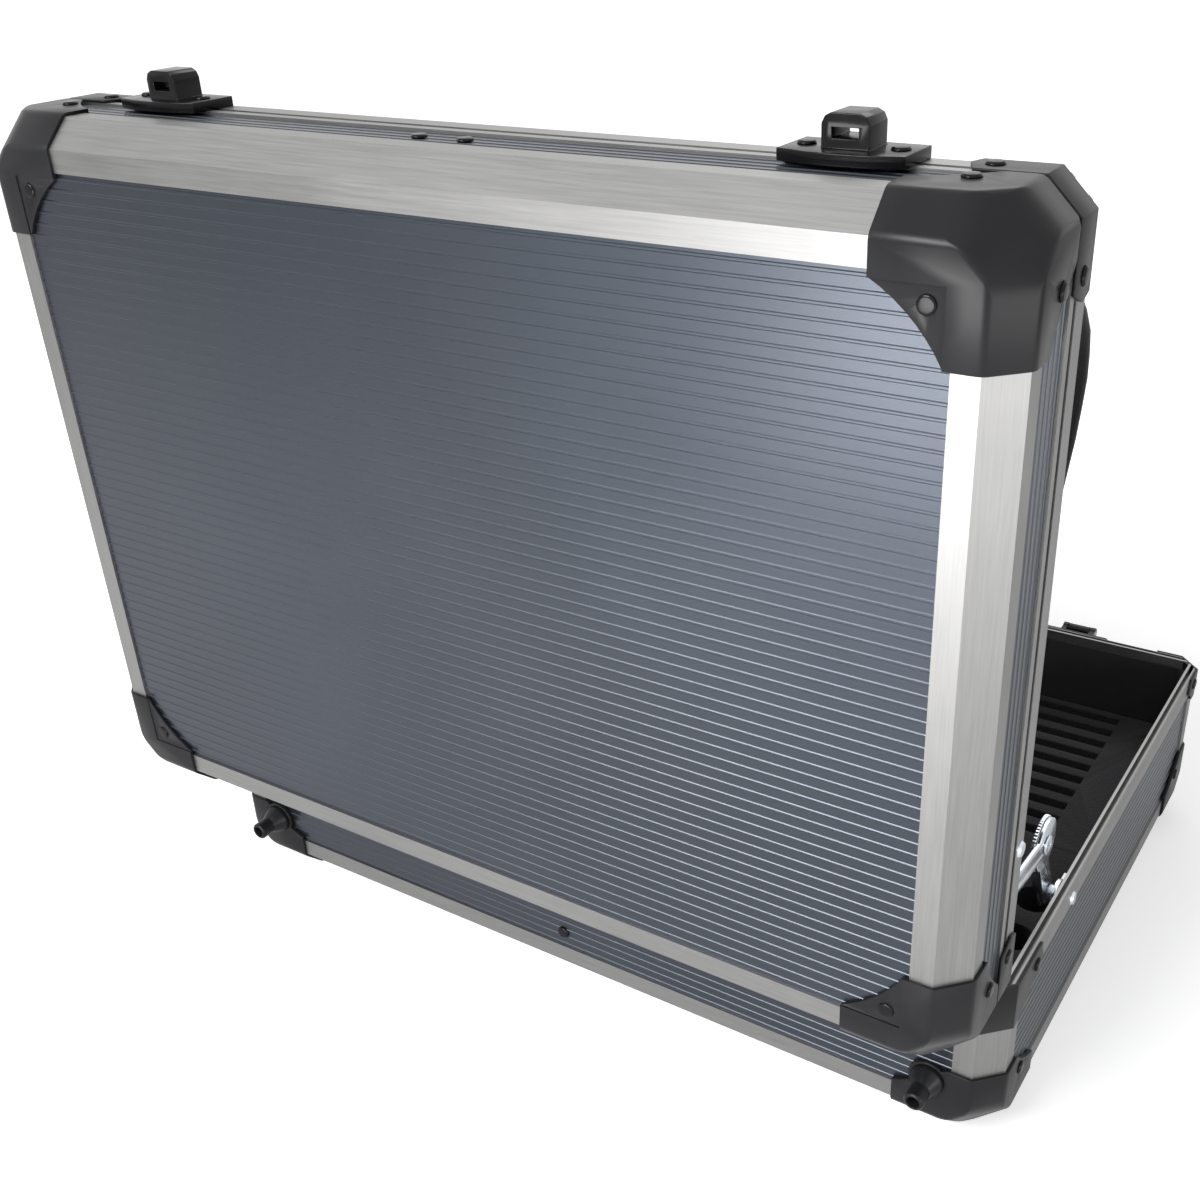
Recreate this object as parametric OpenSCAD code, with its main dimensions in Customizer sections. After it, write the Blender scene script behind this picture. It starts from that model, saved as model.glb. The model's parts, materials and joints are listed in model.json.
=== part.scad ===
/* [Case] */
// Width across the edge profiles
case_w = 455; // [400:1:520]
// Depth across the edge profiles
case_d = 325; // [280:1:400]
// Height of the base up to the parting
base_h = 90; // [84:1:130]
// Height of the lid above the parting
lid_h = 57; // [52:1:90]
// Gap between the base rim and the lid rim
part_gap = 0.4; // [0.2:0.1:1]
// Angle of the opened lid
lid_open = 91; // [70:1:100]

/* [Edge profiles] */
// Leg of the chamfer along every outer edge
chamfer_leg = 11; // [10.6:0.2:14]
// Lip of the profile beyond the chamfer
edge_lip = 9.4; // [7:0.2:12]
// Wall of the extruded profiles
skin = 1.1; // [0.9:0.1:1.5]

/* [Panels] */
// Thickness of the ribbed panels
panel_t = 2.8; // [2.2:0.1:3.4]
// Pitch of the ribs on the large faces
rib_pitch = 5; // [4:0.5:8]
// Pitch of the ribs on the walls
wall_rib_pitch = 4.5; // [4:0.5:8]
// Width of a rib at its foot
rib_w = 1.4; // [1:0.1:2]
// Height of a rib
rib_h = 0.3; // [0.2:0.05:0.5]
// Lining inside the shell
lining_t = 1.2; // [0.8:0.1:2]

/* [Rims] */
// Height of the base rim profile
rim_h = 13; // [11:0.5:16]
// Depth of the groove in the base rim
groove_depth = 5; // [4.4:0.1:5.6]
// Thickness of the lid tongue
tongue_t = 1.4; // [1:0.1:1.6]
// Length of the lid tongue
tongue_l = 3.6; // [2.5:0.1:4]
// Clearance each side of the tongue
tongue_gap = 0.4; // [0.2:0.05:0.5]
// Rounding of the rim shoulder
shoulder_r = 1.1; // [0.6:0.1:1.3]
// Bright strip along the lid parting
strip_h = 8.5; // [7:0.5:10]
// Height of the seal above the strip
seal_h = 3; // [2:0.5:4]
// Depth of the seal channel
seal_depth = 1.6; // [1:0.1:2]
// Lip above the seal
lid_lip_h = 4; // [3:0.5:5]

/* [Corner caps] */
// How far the caps stand proud
cap_proud = 1.4; // [1.2:0.1:2.4]
// Length of a cap arm from the corner
cap_arm = 47; // [40:1:56]
// Depth of the riveted cap flap
cap_flap = 39.5; // [34:0.5:40]
// Radius of the concave webs between the arms
web_r = 60; // [45:1:90]
// Band of the cap beyond the lip
web_band = 2.2; // [1.5:0.1:4]
// Step down to the web
web_step = 0.8; // [0.5:0.1:1]
// Rivet distance from the corner faces
cap_rivet_in = 28.5; // [27.5:0.5:29.5]
// Proud height of the rim corner plates
plate_proud = 1.2; // [1:0.1:2]
// Arm of the rear corner plates of the base
plate_arm = 44; // [38:1:52]
// Height of the rear corner plates of the base
plate_drop = 24; // [18:1:28]
// Arm of the front corner plates of the base
plate_front_arm = 27; // [22:1:36]
// Height of the front corner plates of the base
plate_front_drop = 17; // [14:1:20]
// Arm of the corner plates of the lid
plate_lid_arm = 37.5; // [32:0.5:44]

/* [Rivets and feet] */
// Head radius of the rivets
rivet_head_r = 3.4; // [2.5:0.1:4]
// Head height of the rivets
rivet_head_h = 1.1; // [0.8:0.1:1.6]
// Shank radius of the rivets
rivet_r = 1.8; // [1.4:0.1:2.2]
// Foot distance from the side face
foot_in = 30.5; // [27:0.5:33]
// Foot height above the base edge
foot_up = 31; // [27:0.5:32]
// Radius of the foot at its root
foot_root_r = 8; // [6:0.5:9]
// Radius of the foot at its tip
foot_tip_r = 4.6; // [3.8:0.2:5.4]
// Bore radius of the foot
foot_bore_r = 3; // [2:0.2:3.4]
// Length of the foot
foot_l = 16; // [12:0.5:20]

/* [Foam] */
// Top of the foam above the base profiles
foam_top = 45; // [40:0.5:45.5]
// Thickness of the cut foam layer
foam_cut_t = 25; // [18:1:28]
// Width of a tool slot
slot_w = 7; // [5:0.5:9]
// Pitch of the tool slots
slot_pitch = 14.3; // [12:0.1:15]
// Number of tool slots
slot_count = 10; // [6:1:10]
// Bar in front of the first slot
slot_edge = 12; // [9:0.5:14]
// Solid foam at the slot ends
slot_end = 37.5; // [30:0.5:60]
// Radius of the round holes
hole_r = 10; // [7:0.5:11]
// Hole distance from the side face
hole_in = 26; // [22:0.5:40]
// Height of the hole pair's first centre behind the slots
hole_back = 57; // [50:1:70]
// Distance between the two holes
hole_pitch = 32; // [28:1:40]

/* [Lid stays] */
// Lower pivot ahead of the lid hinge
stay_low_back = 91.2; // [80:0.2:100]
// Lower pivot below the lid hinge
stay_low_down = 10.7; // [9:0.1:14]
// Lid pivot ahead of the lid hinge
stay_lid_back = 41.5; // [36:0.5:48]
// Lid pivot above the lid hinge
stay_lid_up = 19.9; // [17:0.1:26]
// Sheet thickness of the arms
arm_t = 1.6; // [1.2:0.1:2]
// Width of the arms
arm_w = 11; // [8:0.5:12]
// Radius of the knuckle disc
disc_r = 13; // [10:0.5:14]
// Radius of the stay pins
stay_pin_r = 2.5; // [1.8:0.1:3]
// Clearance of the stay pivots
pivot_gap = 0.25; // [0.15:0.05:0.4]
// Thickness of the stay brackets
bracket_t = 2; // [1.5:0.1:2.4]
// Running gap between stay layers
layer_gap = 0.4; // [0.3:0.1:0.6]

/* [Hinge] */
// Hinge axis outside the rear face
hinge_out = 2.5; // [2.5:0.1:3.4]
// Radius of the hinge knuckles
knuckle_r = 2.3; // [2:0.1:2.4]
// Radius of the hinge pin
hinge_pin_r = 1; // [0.8:0.1:1.1]
// Clearance of the hinge pin
hinge_gap = 0.2; // [0.15:0.05:0.3]
// Number of hinge knuckles
knuckle_count = 11; // [5:2:17]
// Thickness of the hinge leaves
leaf_t = 1; // [0.8:0.1:1.2]
// Height of the hinge leaves
leaf_h = 9; // [7:0.5:10]

/* [Latches] */
// Latch distance from the side face
latch_in = 74; // [74:0.5:110]
// Width of the latch and hasp plates
latch_w = 43.5; // [40:0.5:46]
// Height of the latch plate
latch_h = 45; // [40:1:52]
// Thickness of the latch plate
latch_t = 3.5; // [3:0.1:3.6]
// Latch pivot outside the front face
latch_out = 10; // [10:0.1:11]
// Latch pivot below the parting
latch_down = 4; // [3.8:0.1:5]
// Radius of the latch ears
ear_r = 3.8; // [3.4:0.1:3.8]
// Width of a latch ear
ear_w = 3; // [2.4:0.2:3.4]
// Width of the flap barrel
barrel_w = 13; // [10:0.5:14]
// Radius of the latch pin
latch_pin_r = 1.5; // [1.2:0.1:1.8]
// Clearance in the latch
latch_gap = 0.25; // [0.2:0.05:0.3]
// Width of the hasp flap
flap_w = 36; // [32:1:42]
// Length of the hasp flap
flap_l = 48; // [46.5:0.5:54]
// Thickness of the hasp flap
flap_t = 2.5; // [2:0.1:2.6]
// Width of the slide bolt
bolt_w = 8; // [6:0.5:8]
// Thickness of the slide bolt
bolt_t = 2.3; // [1.8:0.1:2.4]
// Travel of the slide bolt
bolt_travel = 13; // [11:0.5:13]

/* [Hasp towers] */
// Height of the hasp plate
hasp_h = 25; // [23:0.5:27]
// Thickness of the hasp plate
hasp_t = 4; // [3:0.1:4.4]
// Width of the tower
tower_w = 16.4; // [14:0.2:17]
// Foot of the tower above the parting
tower_low = 4; // [3.6:0.1:4.4]
// Height of the tower along the face
tower_h = 13.6; // [12:0.1:13.8]
// Reach of the tower from the face
tower_out = 14.7; // [13:0.1:15]
// Width of the tower slot
tower_slot_w = 9; // [8.6:0.1:10]
// Margin of the slot round the bolt
tower_slot_gap = 0.5; // [0.4:0.05:0.6]

/* [Handle] */
// Handle arm distance from the middle
handle_x = 55; // [45:1:65]
// Pivot below the parting
handle_down = 28; // [26:0.5:32]
// Pivot outside the front face
handle_out = 12; // [12:0.5:15]
// Drop of the grip below the pivot
handle_drop = 33; // [28:0.5:36]
// Radius of the grip
grip_r = 9.5; // [8:0.5:10]
// Radius of the grip core rod
core_r = 3.5; // [3:0.1:4]
// Width of a handle arm
handle_arm_w = 5; // [4:0.5:6]
// Radius of the arm eye
handle_eye_r = 6; // [5:0.5:6.5]
// Radius of the handle pins
handle_pin_r = 2; // [1.6:0.1:2.4]

/* [Lid pocket] */
// Reach of the pocket below the parting
pocket_drop = 43.5; // [30:0.5:44]
// Thickness of the pocket board
pocket_t = 3.2; // [2:0.2:4]
// Clearance beside the lining
pocket_side = 1.5; // [1:0.5:6]
// Free edge behind the front face
pocket_front = 28; // [24:1:40]
// Sewn edge ahead of the hinge
pocket_root = 150; // [140:1:170]

/* [Hidden] */
round_fn = 40;
small_fn = 20;
arc_fn = 120;
cut = 1;
alu = [0.72, 0.72, 0.73];
blue = [0.42, 0.46, 0.52];
black = [0.13, 0.13, 0.14];
zinc = [0.80, 0.83, 0.86];

// Profile section: distance in from one face, then from the other
lip_end = chamfer_leg + edge_lip;
inner = skin + panel_t + skin;
panel_edge = chamfer_leg + skin;
inner_run = max(inner + skin, chamfer_leg + skin * sqrt(2) - inner);
mitre = lip_end + cut;

// Facet across each corner, as the sum of the distances in from three faces
facet = lip_end + chamfer_leg;
facet_cap = facet - cap_proud * sqrt(3);
facet_lining = facet + skin * sqrt(3);
facet_room = facet_lining + lining_t * sqrt(3);
facet_foam = facet_room + part_gap * sqrt(3);
facet_cut = lip_end * 4;
cap_leg = chamfer_leg + 2 * cap_proud - cap_proud * sqrt(2);

// Webs of the caps: each arc runs from one arm's end to the other's
web_edge = lip_end + web_band;
web_seat = skin - rib_h;
web_run = [web_edge - cap_arm, cap_arm - web_edge];
side_run = [web_edge - cap_arm, cap_flap - web_edge];
web_mid = [cap_arm, web_edge] + web_run / 2;
side_mid = [cap_arm, web_edge] + side_run / 2;
web_rise = sqrt(web_r * web_r - pow(norm(web_run) / 2, 2)) / norm(web_run);
side_rise = sqrt(web_r * web_r - pow(norm(side_run) / 2, 2)) / norm(side_run);
web_centre = web_mid + web_rise * [web_run[1], -web_run[0]];
side_centre = side_mid + side_rise * [side_run[1], -side_run[0]];

// Rims, measured from the parting towards the large face
groove_w = tongue_t + tongue_gap + tongue_gap;
groove_in = (inner - groove_w) / 2;
base_slot = groove_depth + skin;
lid_rim_h = strip_h + seal_h + lid_lip_h;
lid_slot = strip_h + seal_h + skin / 2;
plug_t = 2.5;

// Lining and foam
lining_leg = chamfer_leg + plug_t - inner - inner;
lining_in = inner + lining_t;
foam_in = lining_in + 0.3;
foam_leg = lining_leg;
foam_step = foam_top - foam_cut_t;
slot_first = -case_d / 2 + slot_edge + slot_w / 2;
foam_split = slot_first + slot_pitch * (slot_count - 1) + slot_w + slot_w / 2;

// Hinge and stays, in the base profile's frame
hinge_y = case_d / 2 + hinge_out;
hinge_z = base_h + part_gap / 2;
low_pivot = [hinge_y - stay_low_back, hinge_z - stay_low_down];
lid_pivot = [hinge_y - stay_lid_back, stay_lid_up - part_gap / 2];
reach_y = stay_lid_up * sin(lid_open) - stay_lid_back * cos(lid_open);
reach_z = stay_lid_back * sin(lid_open) + stay_lid_up * cos(lid_open);
knuckle_pt = [low_pivot[0] + reach_y, low_pivot[1] + reach_z];
lid_pivot_open = [hinge_y + reach_y, hinge_z + reach_z];
wall_x = case_w / 2 - lining_in;
bracket_x = wall_x - bracket_t;
knuckle_head_t = 0.8;
upper_x = bracket_x - layer_gap - knuckle_head_t - arm_t;
lower_x = upper_x - layer_gap - arm_t;
pin_head_t = 1.4;
cheek_turn = 24;

// The frame's origin lies under the middle of the open case
lid_edge_in = cap_leg - cap_proud;
lid_top = lid_h + cap_proud + part_gap / 2;
lid_lean = max(-(case_d + hinge_out - lid_edge_in) * cos(lid_open),
    -(lid_edge_in + hinge_out) * cos(lid_open));
rear_reach = hinge_y + lid_top * sin(lid_open) + lid_lean;
front_reach = case_d / 2 + handle_out + grip_r;
centre_y = (rear_reach - front_reach) / 2;

// Latch
latch_x = case_w / 2 - latch_in;
latch_z = base_h - latch_down;
flap_gap = 0.2;
bolt_in = bolt_t + 0.1;
tower_z = part_gap + tower_low + latch_down;
window_low = tower_z - 1;
window_high = tower_z + tower_h + 0.8;
bolt_tip = window_high + 0.8;
neck_l = 3.6;
slot_low = window_high + 2.4;
neck_low = slot_low + bolt_travel + 0.2;

// Transforms
module in_base() {
    translate([0, -centre_y, cap_proud]) children();
}

module in_lid() {
    in_base() translate([0, hinge_y, hinge_z]) rotate([-lid_open, 0, 0])
        translate([0, -hinge_y, part_gap / 2]) children();
}

module lid_flip() {
    translate([0, 0, lid_h]) mirror([0, 0, 1]) children();
}

module front() {
    translate([0, -case_d / 2, 0]) children();
}

module right() {
    translate([case_w / 2, 0, 0]) rotate([0, 0, 90]) children();
}

module both_x() {
    children();
    mirror([1, 0, 0]) children();
}

module both_y() {
    children();
    mirror([0, 1, 0]) children();
}

module corner() {
    translate([-case_w / 2, -case_d / 2, 0]) children();
}

// Two-dimensional section (inward, up) run along X
module rail(len) {
    rotate([90, 0, 90]) linear_extrude(len, center = true) children();
}

// Front view (x, z) given a thickness outward from the face
module plate_out(out, t) {
    translate([0, -out, 0]) rotate([90, 0, 0]) linear_extrude(t) children();
}

// Section (outward, up) run along X
module out_rail(len) {
    mirror([0, 1, 0]) rotate([90, 0, 90]) linear_extrude(len, center = true) children();
}

// Side view (y, z) given a thickness along X
module side_plate(x, t) {
    translate([x, 0, 0]) rotate([90, 0, 90]) linear_extrude(t) children();
}

module bar_2d(p, q, w) {
    d = q - p;
    translate(p) rotate(atan2(d[1], d[0])) translate([0, -w / 2]) square([norm(d), w]);
}

module plan_octagon(w, d, c) {
    x = w / 2;
    y = d / 2;
    polygon([[-x + c, -y], [x - c, -y], [x, -y + c], [x, y - c],
        [x - c, y], [-x + c, y], [-x, y - c], [-x, -y + c]]);
}

module end_shape(w, h, c) {
    x = w / 2;
    polygon([[-x + c, 0], [x - c, 0], [x, c], [x, h], [-x, h], [-x, c]]);
}

// Box with its bottom and upright edges chamfered
module chamfer_box(w, d, h, c) {
    intersection() {
        linear_extrude(h) plan_octagon(w, d, c);
        rotate([90, 0, 0]) linear_extrude(d, center = true) end_shape(w, h, c);
        rotate([90, 0, 90]) linear_extrude(w, center = true) end_shape(d, h, c);
    }
}

// Takes the tip off one corner beyond a plane square to the corner's diagonal
module tipless(sum) {
    difference() {
        children();
        corner() rotate([0, atan(sqrt(2)), 45])
            translate([-facet_cut / 2, -facet_cut / 2, sum / sqrt(3) - facet_cut]) cube(facet_cut);
    }
}

module tipless_all(sum) {
    difference() {
        children();
        both_x() both_y() corner() rotate([0, atan(sqrt(2)), 45])
            translate([-facet_cut / 2, -facet_cut / 2, sum / sqrt(3) - facet_cut]) cube(facet_cut);
    }
}

// Sections
module edge_section() {
    polygon([[0, lip_end], [0, chamfer_leg], [chamfer_leg, 0], [lip_end, 0],
        [lip_end, skin], [panel_edge, skin], [panel_edge, inner - skin], [lip_end, inner - skin],
        [lip_end, inner], [inner_run, inner], [inner, inner_run], [inner, lip_end],
        [inner - skin, lip_end], [inner - skin, panel_edge], [skin, panel_edge], [skin, lip_end]]);
}

module base_rim_section() {
    r = shoulder_r;
    shoulder = [for (i = [0 : 4]) [r - r * sin(90 * i / 4), base_h - r + r * cos(90 * i / 4)]];
    low = base_h - rim_h;
    polygon(concat(shoulder, [
        [0, low + strip_h / 2], [skin / 2, low + strip_h / 2 - skin / 2],
        [0, low + strip_h / 2 - skin], [0, low],
        [skin, low], [skin, base_h - base_slot], [inner - skin, base_h - base_slot],
        [inner - skin, low], [inner, low], [inner, base_h],
        [groove_in + groove_w, base_h], [groove_in + groove_w, base_h - groove_depth],
        [groove_in, base_h - groove_depth], [groove_in, base_h]]));
}

module lid_rim_section(with_tongue) {
    t0 = groove_in + tongue_gap;
    t1 = t0 + tongue_t;
    tongue = with_tongue ? [[t1, 0], [t1, -tongue_l], [t0, -tongue_l], [t0, 0]] : [];
    polygon(concat([[0, 0], [0, strip_h], [seal_depth, strip_h], [seal_depth, strip_h + seal_h],
        [0, strip_h + seal_h], [0, lid_rim_h], [skin, lid_rim_h], [skin, lid_slot],
        [inner - skin, lid_slot], [inner - skin, lid_rim_h], [inner, lid_rim_h], [inner, 0]],
        tongue));
}

// A run of profile with its ends mitred in plan
module mitred(len, low, high) {
    intersection() {
        rail(len) children();
        translate([0, 0, low]) linear_extrude(high - low)
            polygon([[-len / 2, 0], [len / 2, 0], [len / 2 - mitre, mitre], [-len / 2 + mitre, mitre]]);
    }
}

module corner_trim(low, high) {
    intersection() {
        children();
        translate([0, 0, low]) linear_extrude(high - low) plan_octagon(case_w, case_d, chamfer_leg);
    }
}

module edge_rails_long() {
    tipless_all(facet) corner_trim(0, lip_end) both_y() front() mitred(case_w, 0, lip_end) edge_section();
}

module edge_rails_short() {
    tipless_all(facet) corner_trim(0, lip_end) both_x() right() mitred(case_d, 0, lip_end) edge_section();
}

module corner_posts(low, high) {
    both_x() both_y() corner() translate([0, 0, low]) linear_extrude(high - low) edge_section();
}

// Panels
module rib_row(span, pitch) {
    n = floor((span - rib_w) / pitch);
    for (i = [0 : n]) translate([(i - n / 2) * pitch, 0])
        polygon([[-rib_w / 2, 0], [-rib_w / 4, rib_h], [rib_w / 4, rib_h], [rib_w / 2, 0]]);
}

module large_panel() {
    tipless_all(facet) translate([-case_w / 2 + panel_edge, -case_d / 2 + panel_edge, skin])
        cube([case_w - 2 * panel_edge, case_d - 2 * panel_edge, panel_t]);
    translate([0, 0, skin]) mirror([0, 0, 1])
        rail(case_w - 2 * lip_end) rib_row(case_d - 2 * lip_end, rib_pitch);
}

// Wall panel in front-face coordinates, outer side at skin depth, its low corners cut
module wall_panel(len, top_slot, top_rim) {
    x = len / 2 - panel_edge;
    c = facet - skin - panel_edge - panel_edge;
    translate([0, skin + panel_t, 0]) rotate([90, 0, 0]) linear_extrude(panel_t)
        polygon([[-x + c, panel_edge], [x - c, panel_edge], [x, panel_edge + c], [x, top_slot],
            [-x, top_slot], [-x, panel_edge + c]]);
    translate([0, skin, (lip_end + top_rim) / 2]) rotate([0, -90, 0]) mirror([0, 1, 0])
        linear_extrude(len - 2 * lip_end, center = true) rib_row(top_rim - lip_end, wall_rib_pitch);
}

// Caps
module cap_shell(h) {
    p = cap_proud;
    difference() {
        tipless(facet_cap) translate([0, 0, -p]) chamfer_box(case_w + 2 * p, case_d + 2 * p, h + p, cap_leg);
        tipless(facet) chamfer_box(case_w, case_d, h + cut, chamfer_leg);
    }
}

module web_outline(low, centre, high) {
    difference() {
        translate([low, low]) square([cap_arm - low, high - low]);
        translate(centre) circle(web_r, $fn = arc_fn);
    }
}

// Runs a child drawn for the front wall on the front wall and on the side wall
module both_walls() {
    rotate([90, 0, 0]) children();
    mirror([1, -1, 0]) rotate([90, 0, 0]) children();
}

module cap_region() {
    p = cap_proud;
    deep = chamfer_leg + skin + p;
    translate([-p, -p, -p]) cube([cap_arm + p, deep, deep]);
    translate([-p, -p, -p]) cube([deep, cap_arm + p, deep]);
    translate([-p, -p, -p]) cube([deep, deep, cap_flap + p]);
    translate([-p, -p, -p]) cube(web_edge + p);
    translate([0, 0, -p]) linear_extrude(p) web_outline(-p, web_centre, cap_arm);
    both_walls() linear_extrude(p) web_outline(-p, side_centre, cap_flap);
}

// Inner side of the webs, down to the ribs beyond the lips
module cap_seats() {
    linear_extrude(web_seat) web_outline(lip_end, web_centre, cap_arm);
    both_walls() mirror([0, 0, 1]) linear_extrude(web_seat) web_outline(lip_end, side_centre, cap_flap);
}

module web_spot() {
    translate([cap_rivet_in, cap_rivet_in, web_step - cap_proud]) mirror([0, 0, 1]) children();
}

module wall_spots(with_front) {
    translate([-cap_proud, cap_rivet_in, cap_rivet_in]) rotate([0, -90, 0]) children();
    if (with_front) translate([cap_rivet_in, -cap_proud, cap_rivet_in]) rotate([90, 0, 0]) children();
}

module rivet_hole() {
    translate([0, 0, -rivet_deep]) cylinder(r = rivet_r, h = rivet_deep + cut, $fn = small_fn);
}

module one_cap(h, with_front) {
    difference() {
        union() {
            intersection() {
                cap_shell(h);
                corner() cap_region();
            }
            corner() cap_seats();
        }
        corner() translate([web_edge, web_edge, -cap_proud - cut]) cube([cap_arm, cap_arm, web_step + cut]);
        corner() web_spot() rivet_hole();
        corner() wall_spots(with_front) rivet_hole();
    }
}

rivet_deep = cap_proud + web_seat + cut / 2;

module rivet(shank, head) {
    translate([0, 0, -shank]) cylinder(r = rivet_r, h = shank, $fn = small_fn);
    cylinder(r1 = rivet_head_r, r2 = rivet_head_r * 0.8, h = head, $fn = small_fn);
}

module one_cap_rivets(with_front) {
    corner() web_spot() rivet(cap_proud - web_step + web_seat, web_step * 0.9);
    corner() wall_spots(with_front) rivet(cap_proud + web_seat, rivet_head_h);
}

// Rim corner pieces: a plate over the rim and a plug between the rails
module corner_plug() {
    q = chamfer_leg - inner;
    polygon([[inner, q], [q, inner], [q + plug_t, inner], [inner, q + plug_t]]);
}

// Children: the plate's outline on one wall
module corner_plate(low, high, plug_low) {
    p = plate_proud;
    c = chamfer_leg + 2 * p - p * sqrt(2);
    intersection() {
        translate([0, 0, low]) linear_extrude(high - low) difference() {
            plan_octagon(case_w + 2 * p, case_d + 2 * p, c);
            plan_octagon(case_w, case_d, chamfer_leg);
        }
        corner() union() {
            both_walls() linear_extrude(p) children();
            translate([-p, -p, low]) cube([chamfer_leg + p, chamfer_leg + p, high - low]);
        }
    }
    corner() translate([0, 0, plug_low]) linear_extrude(high - plug_low) corner_plug();
}

// Arm along the rim that widens towards the post
module base_plate_outline(arm, drop) {
    p = plate_proud;
    low = base_h - drop;
    band = base_h - rim_h;
    polygon([[-p, low], [lip_end * 0.8, low], [lip_end, low + rim_h / 6], [arm - rim_h / 2, band],
        [arm, band + rim_h / 3], [arm - rim_h / 6, base_h], [-p, base_h]]);
}

module lid_plate_outline() {
    p = plate_proud;
    arm = plate_lid_arm;
    polygon([[-p, 0], [arm - strip_h / 4, 0], [arm, strip_h * 0.7], [arm - strip_h / 2, lid_rim_h],
        [-p, lid_rim_h]]);
}

// Base shell
module base_bottom_panel() {
    color(blue) in_base() large_panel();
}

module base_front_panel() {
    color(blue) in_base() front() wall_panel(case_w, base_h - base_slot, base_h - rim_h);
}

module base_rear_panel() {
    color(blue) in_base() mirror([0, 1, 0]) front()
        wall_panel(case_w, base_h - base_slot, base_h - rim_h);
}

module base_side_panels() {
    color(blue) in_base() both_x() right() wall_panel(case_d, base_h - base_slot, base_h - rim_h);
}

module base_edge_rails_long() {
    color(alu) in_base() edge_rails_long();
}

module base_edge_rails_short() {
    color(alu) in_base() edge_rails_short();
}

module base_corner_posts() {
    color(alu) in_base() corner_posts(lip_end, base_h - rim_h);
}

module base_rim_long() {
    color(alu) in_base() corner_trim(0, base_h)
        both_y() front() mitred(case_w, 0, base_h) base_rim_section();
}

module base_rim_short() {
    color(alu) in_base() corner_trim(0, base_h)
        both_x() right() mitred(case_d, 0, base_h) base_rim_section();
}

module base_rim_corners() {
    plug_low = base_h - rim_h;
    color(black) in_base() both_x() {
        corner_plate(base_h - plate_front_drop, base_h, plug_low)
            base_plate_outline(plate_front_arm, plate_front_drop);
        mirror([0, 1, 0]) corner_plate(base_h - plate_drop, base_h, plug_low)
            base_plate_outline(plate_arm, plate_drop);
    }
}

module base_front_caps() {
    color(black) in_base() both_x() one_cap(base_h - rim_h, true);
}

module base_rear_caps() {
    color(black) in_base() both_x() mirror([0, 1, 0]) {
        one_cap(base_h - rim_h, false);
        corner() translate([foot_in, web_seat, foot_up]) rotate([90, 0, 0])
            cylinder(r = foot_root_r + skin, h = web_seat + cap_proud, $fn = round_fn);
    }
}

module rear_feet() {
    color(black) in_base() both_x()
        translate([case_w / 2 - foot_in, case_d / 2 + cap_proud, foot_up]) rotate([-90, 0, 0])
        rotate_extrude($fn = round_fn) polygon([[foot_bore_r, 0], [foot_root_r, 0],
            [foot_root_r, foot_l / 8], [foot_tip_r + 0.6, foot_l * 0.45], [foot_tip_r, foot_l * 0.5],
            [foot_tip_r, foot_l - 0.8], [foot_tip_r - 0.8, foot_l], [foot_bore_r, foot_l]]);
}

module base_lining() {
    color(black) in_base() difference() {
        tipless_all(facet_lining) translate([0, 0, inner])
            chamfer_box(case_w - 2 * inner, case_d - 2 * inner, base_h - 2 * inner, lining_leg);
        tipless_all(facet_room) translate([0, 0, lining_in])
            chamfer_box(case_w - 2 * lining_in, case_d - 2 * lining_in, base_h, lining_leg);
    }
}

module foam_floor() {
    color(black) in_base() tipless_all(facet_foam) translate([0, 0, lining_in])
        chamfer_box(case_w - 2 * foam_in, case_d - 2 * foam_in, foam_step - lining_in, foam_leg);
}

module foam_plan(y0, y1) {
    intersection() {
        plan_octagon(case_w - 2 * foam_in, case_d - 2 * foam_in, foam_leg);
        translate([-case_w / 2, y0]) square([case_w, y1 - y0]);
    }
}

module foam_slots() {
    color(black) in_base() tipless_all(facet_foam)
        translate([0, 0, foam_step]) linear_extrude(foam_cut_t) difference() {
        foam_plan(-case_d / 2, foam_split);
        for (i = [0 : slot_count - 1])
            translate([-case_w / 2 + slot_end, slot_first + i * slot_pitch - slot_w / 2])
                square([case_w - 2 * slot_end, slot_w]);
    }
}

module foam_tray() {
    color(black) in_base() tipless_all(facet_foam)
        translate([0, 0, foam_step]) linear_extrude(foam_cut_t) difference() {
        foam_plan(foam_split, case_d / 2);
        for (i = [0, 1])
            translate([-case_w / 2 + hole_in, slot_first + slot_pitch * (slot_count - 1)
                + hole_back + i * hole_pitch]) circle(hole_r, $fn = round_fn);
    }
}

module base_rivets() {
    color(black) in_base() {
        both_x() one_cap_rivets(true);
        both_x() mirror([0, 1, 0]) one_cap_rivets(false);
        both_x() corner() rotate([0, -90, 0])
            translate([base_h - rim_h / 2, plate_front_arm - rivet_head_r * 3, plate_proud]) plain_head();
        both_x() mirror([0, 1, 0]) corner() rotate([0, -90, 0])
            translate([base_h - rim_h * 0.66, plate_arm - rivet_head_r * 2.2, plate_proud]) plain_head();
        translate([0, case_d / 2 - skin + rib_h, base_h / 3 - skin]) rotate([-90, 0, 0]) plain_head();
    }
}

module plain_head() {
    cylinder(r1 = rivet_head_r, r2 = rivet_head_r * 0.8, h = rivet_head_h, $fn = small_fn);
}

// Hinge
module knuckle_section(bore, side) {
    difference() {
        union() {
            circle(knuckle_r, $fn = small_fn);
            translate([-knuckle_r, side > 0 ? 0 : -knuckle_r * 1.4]) square([leaf_t, knuckle_r * 1.4]);
        }
        circle(bore, $fn = small_fn);
    }
}

hinge_l = case_w - 2 * (cap_arm + skin);
knuckle_l = hinge_l / knuckle_count;

module hinge_knuckles(first, bore, side) {
    for (i = [first : 2 : knuckle_count - 1])
        translate([-hinge_l / 2 + (i + 0.5) * knuckle_l, 0, 0])
            rail(knuckle_l - hinge_gap * 2) knuckle_section(bore, side);
}

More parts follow.
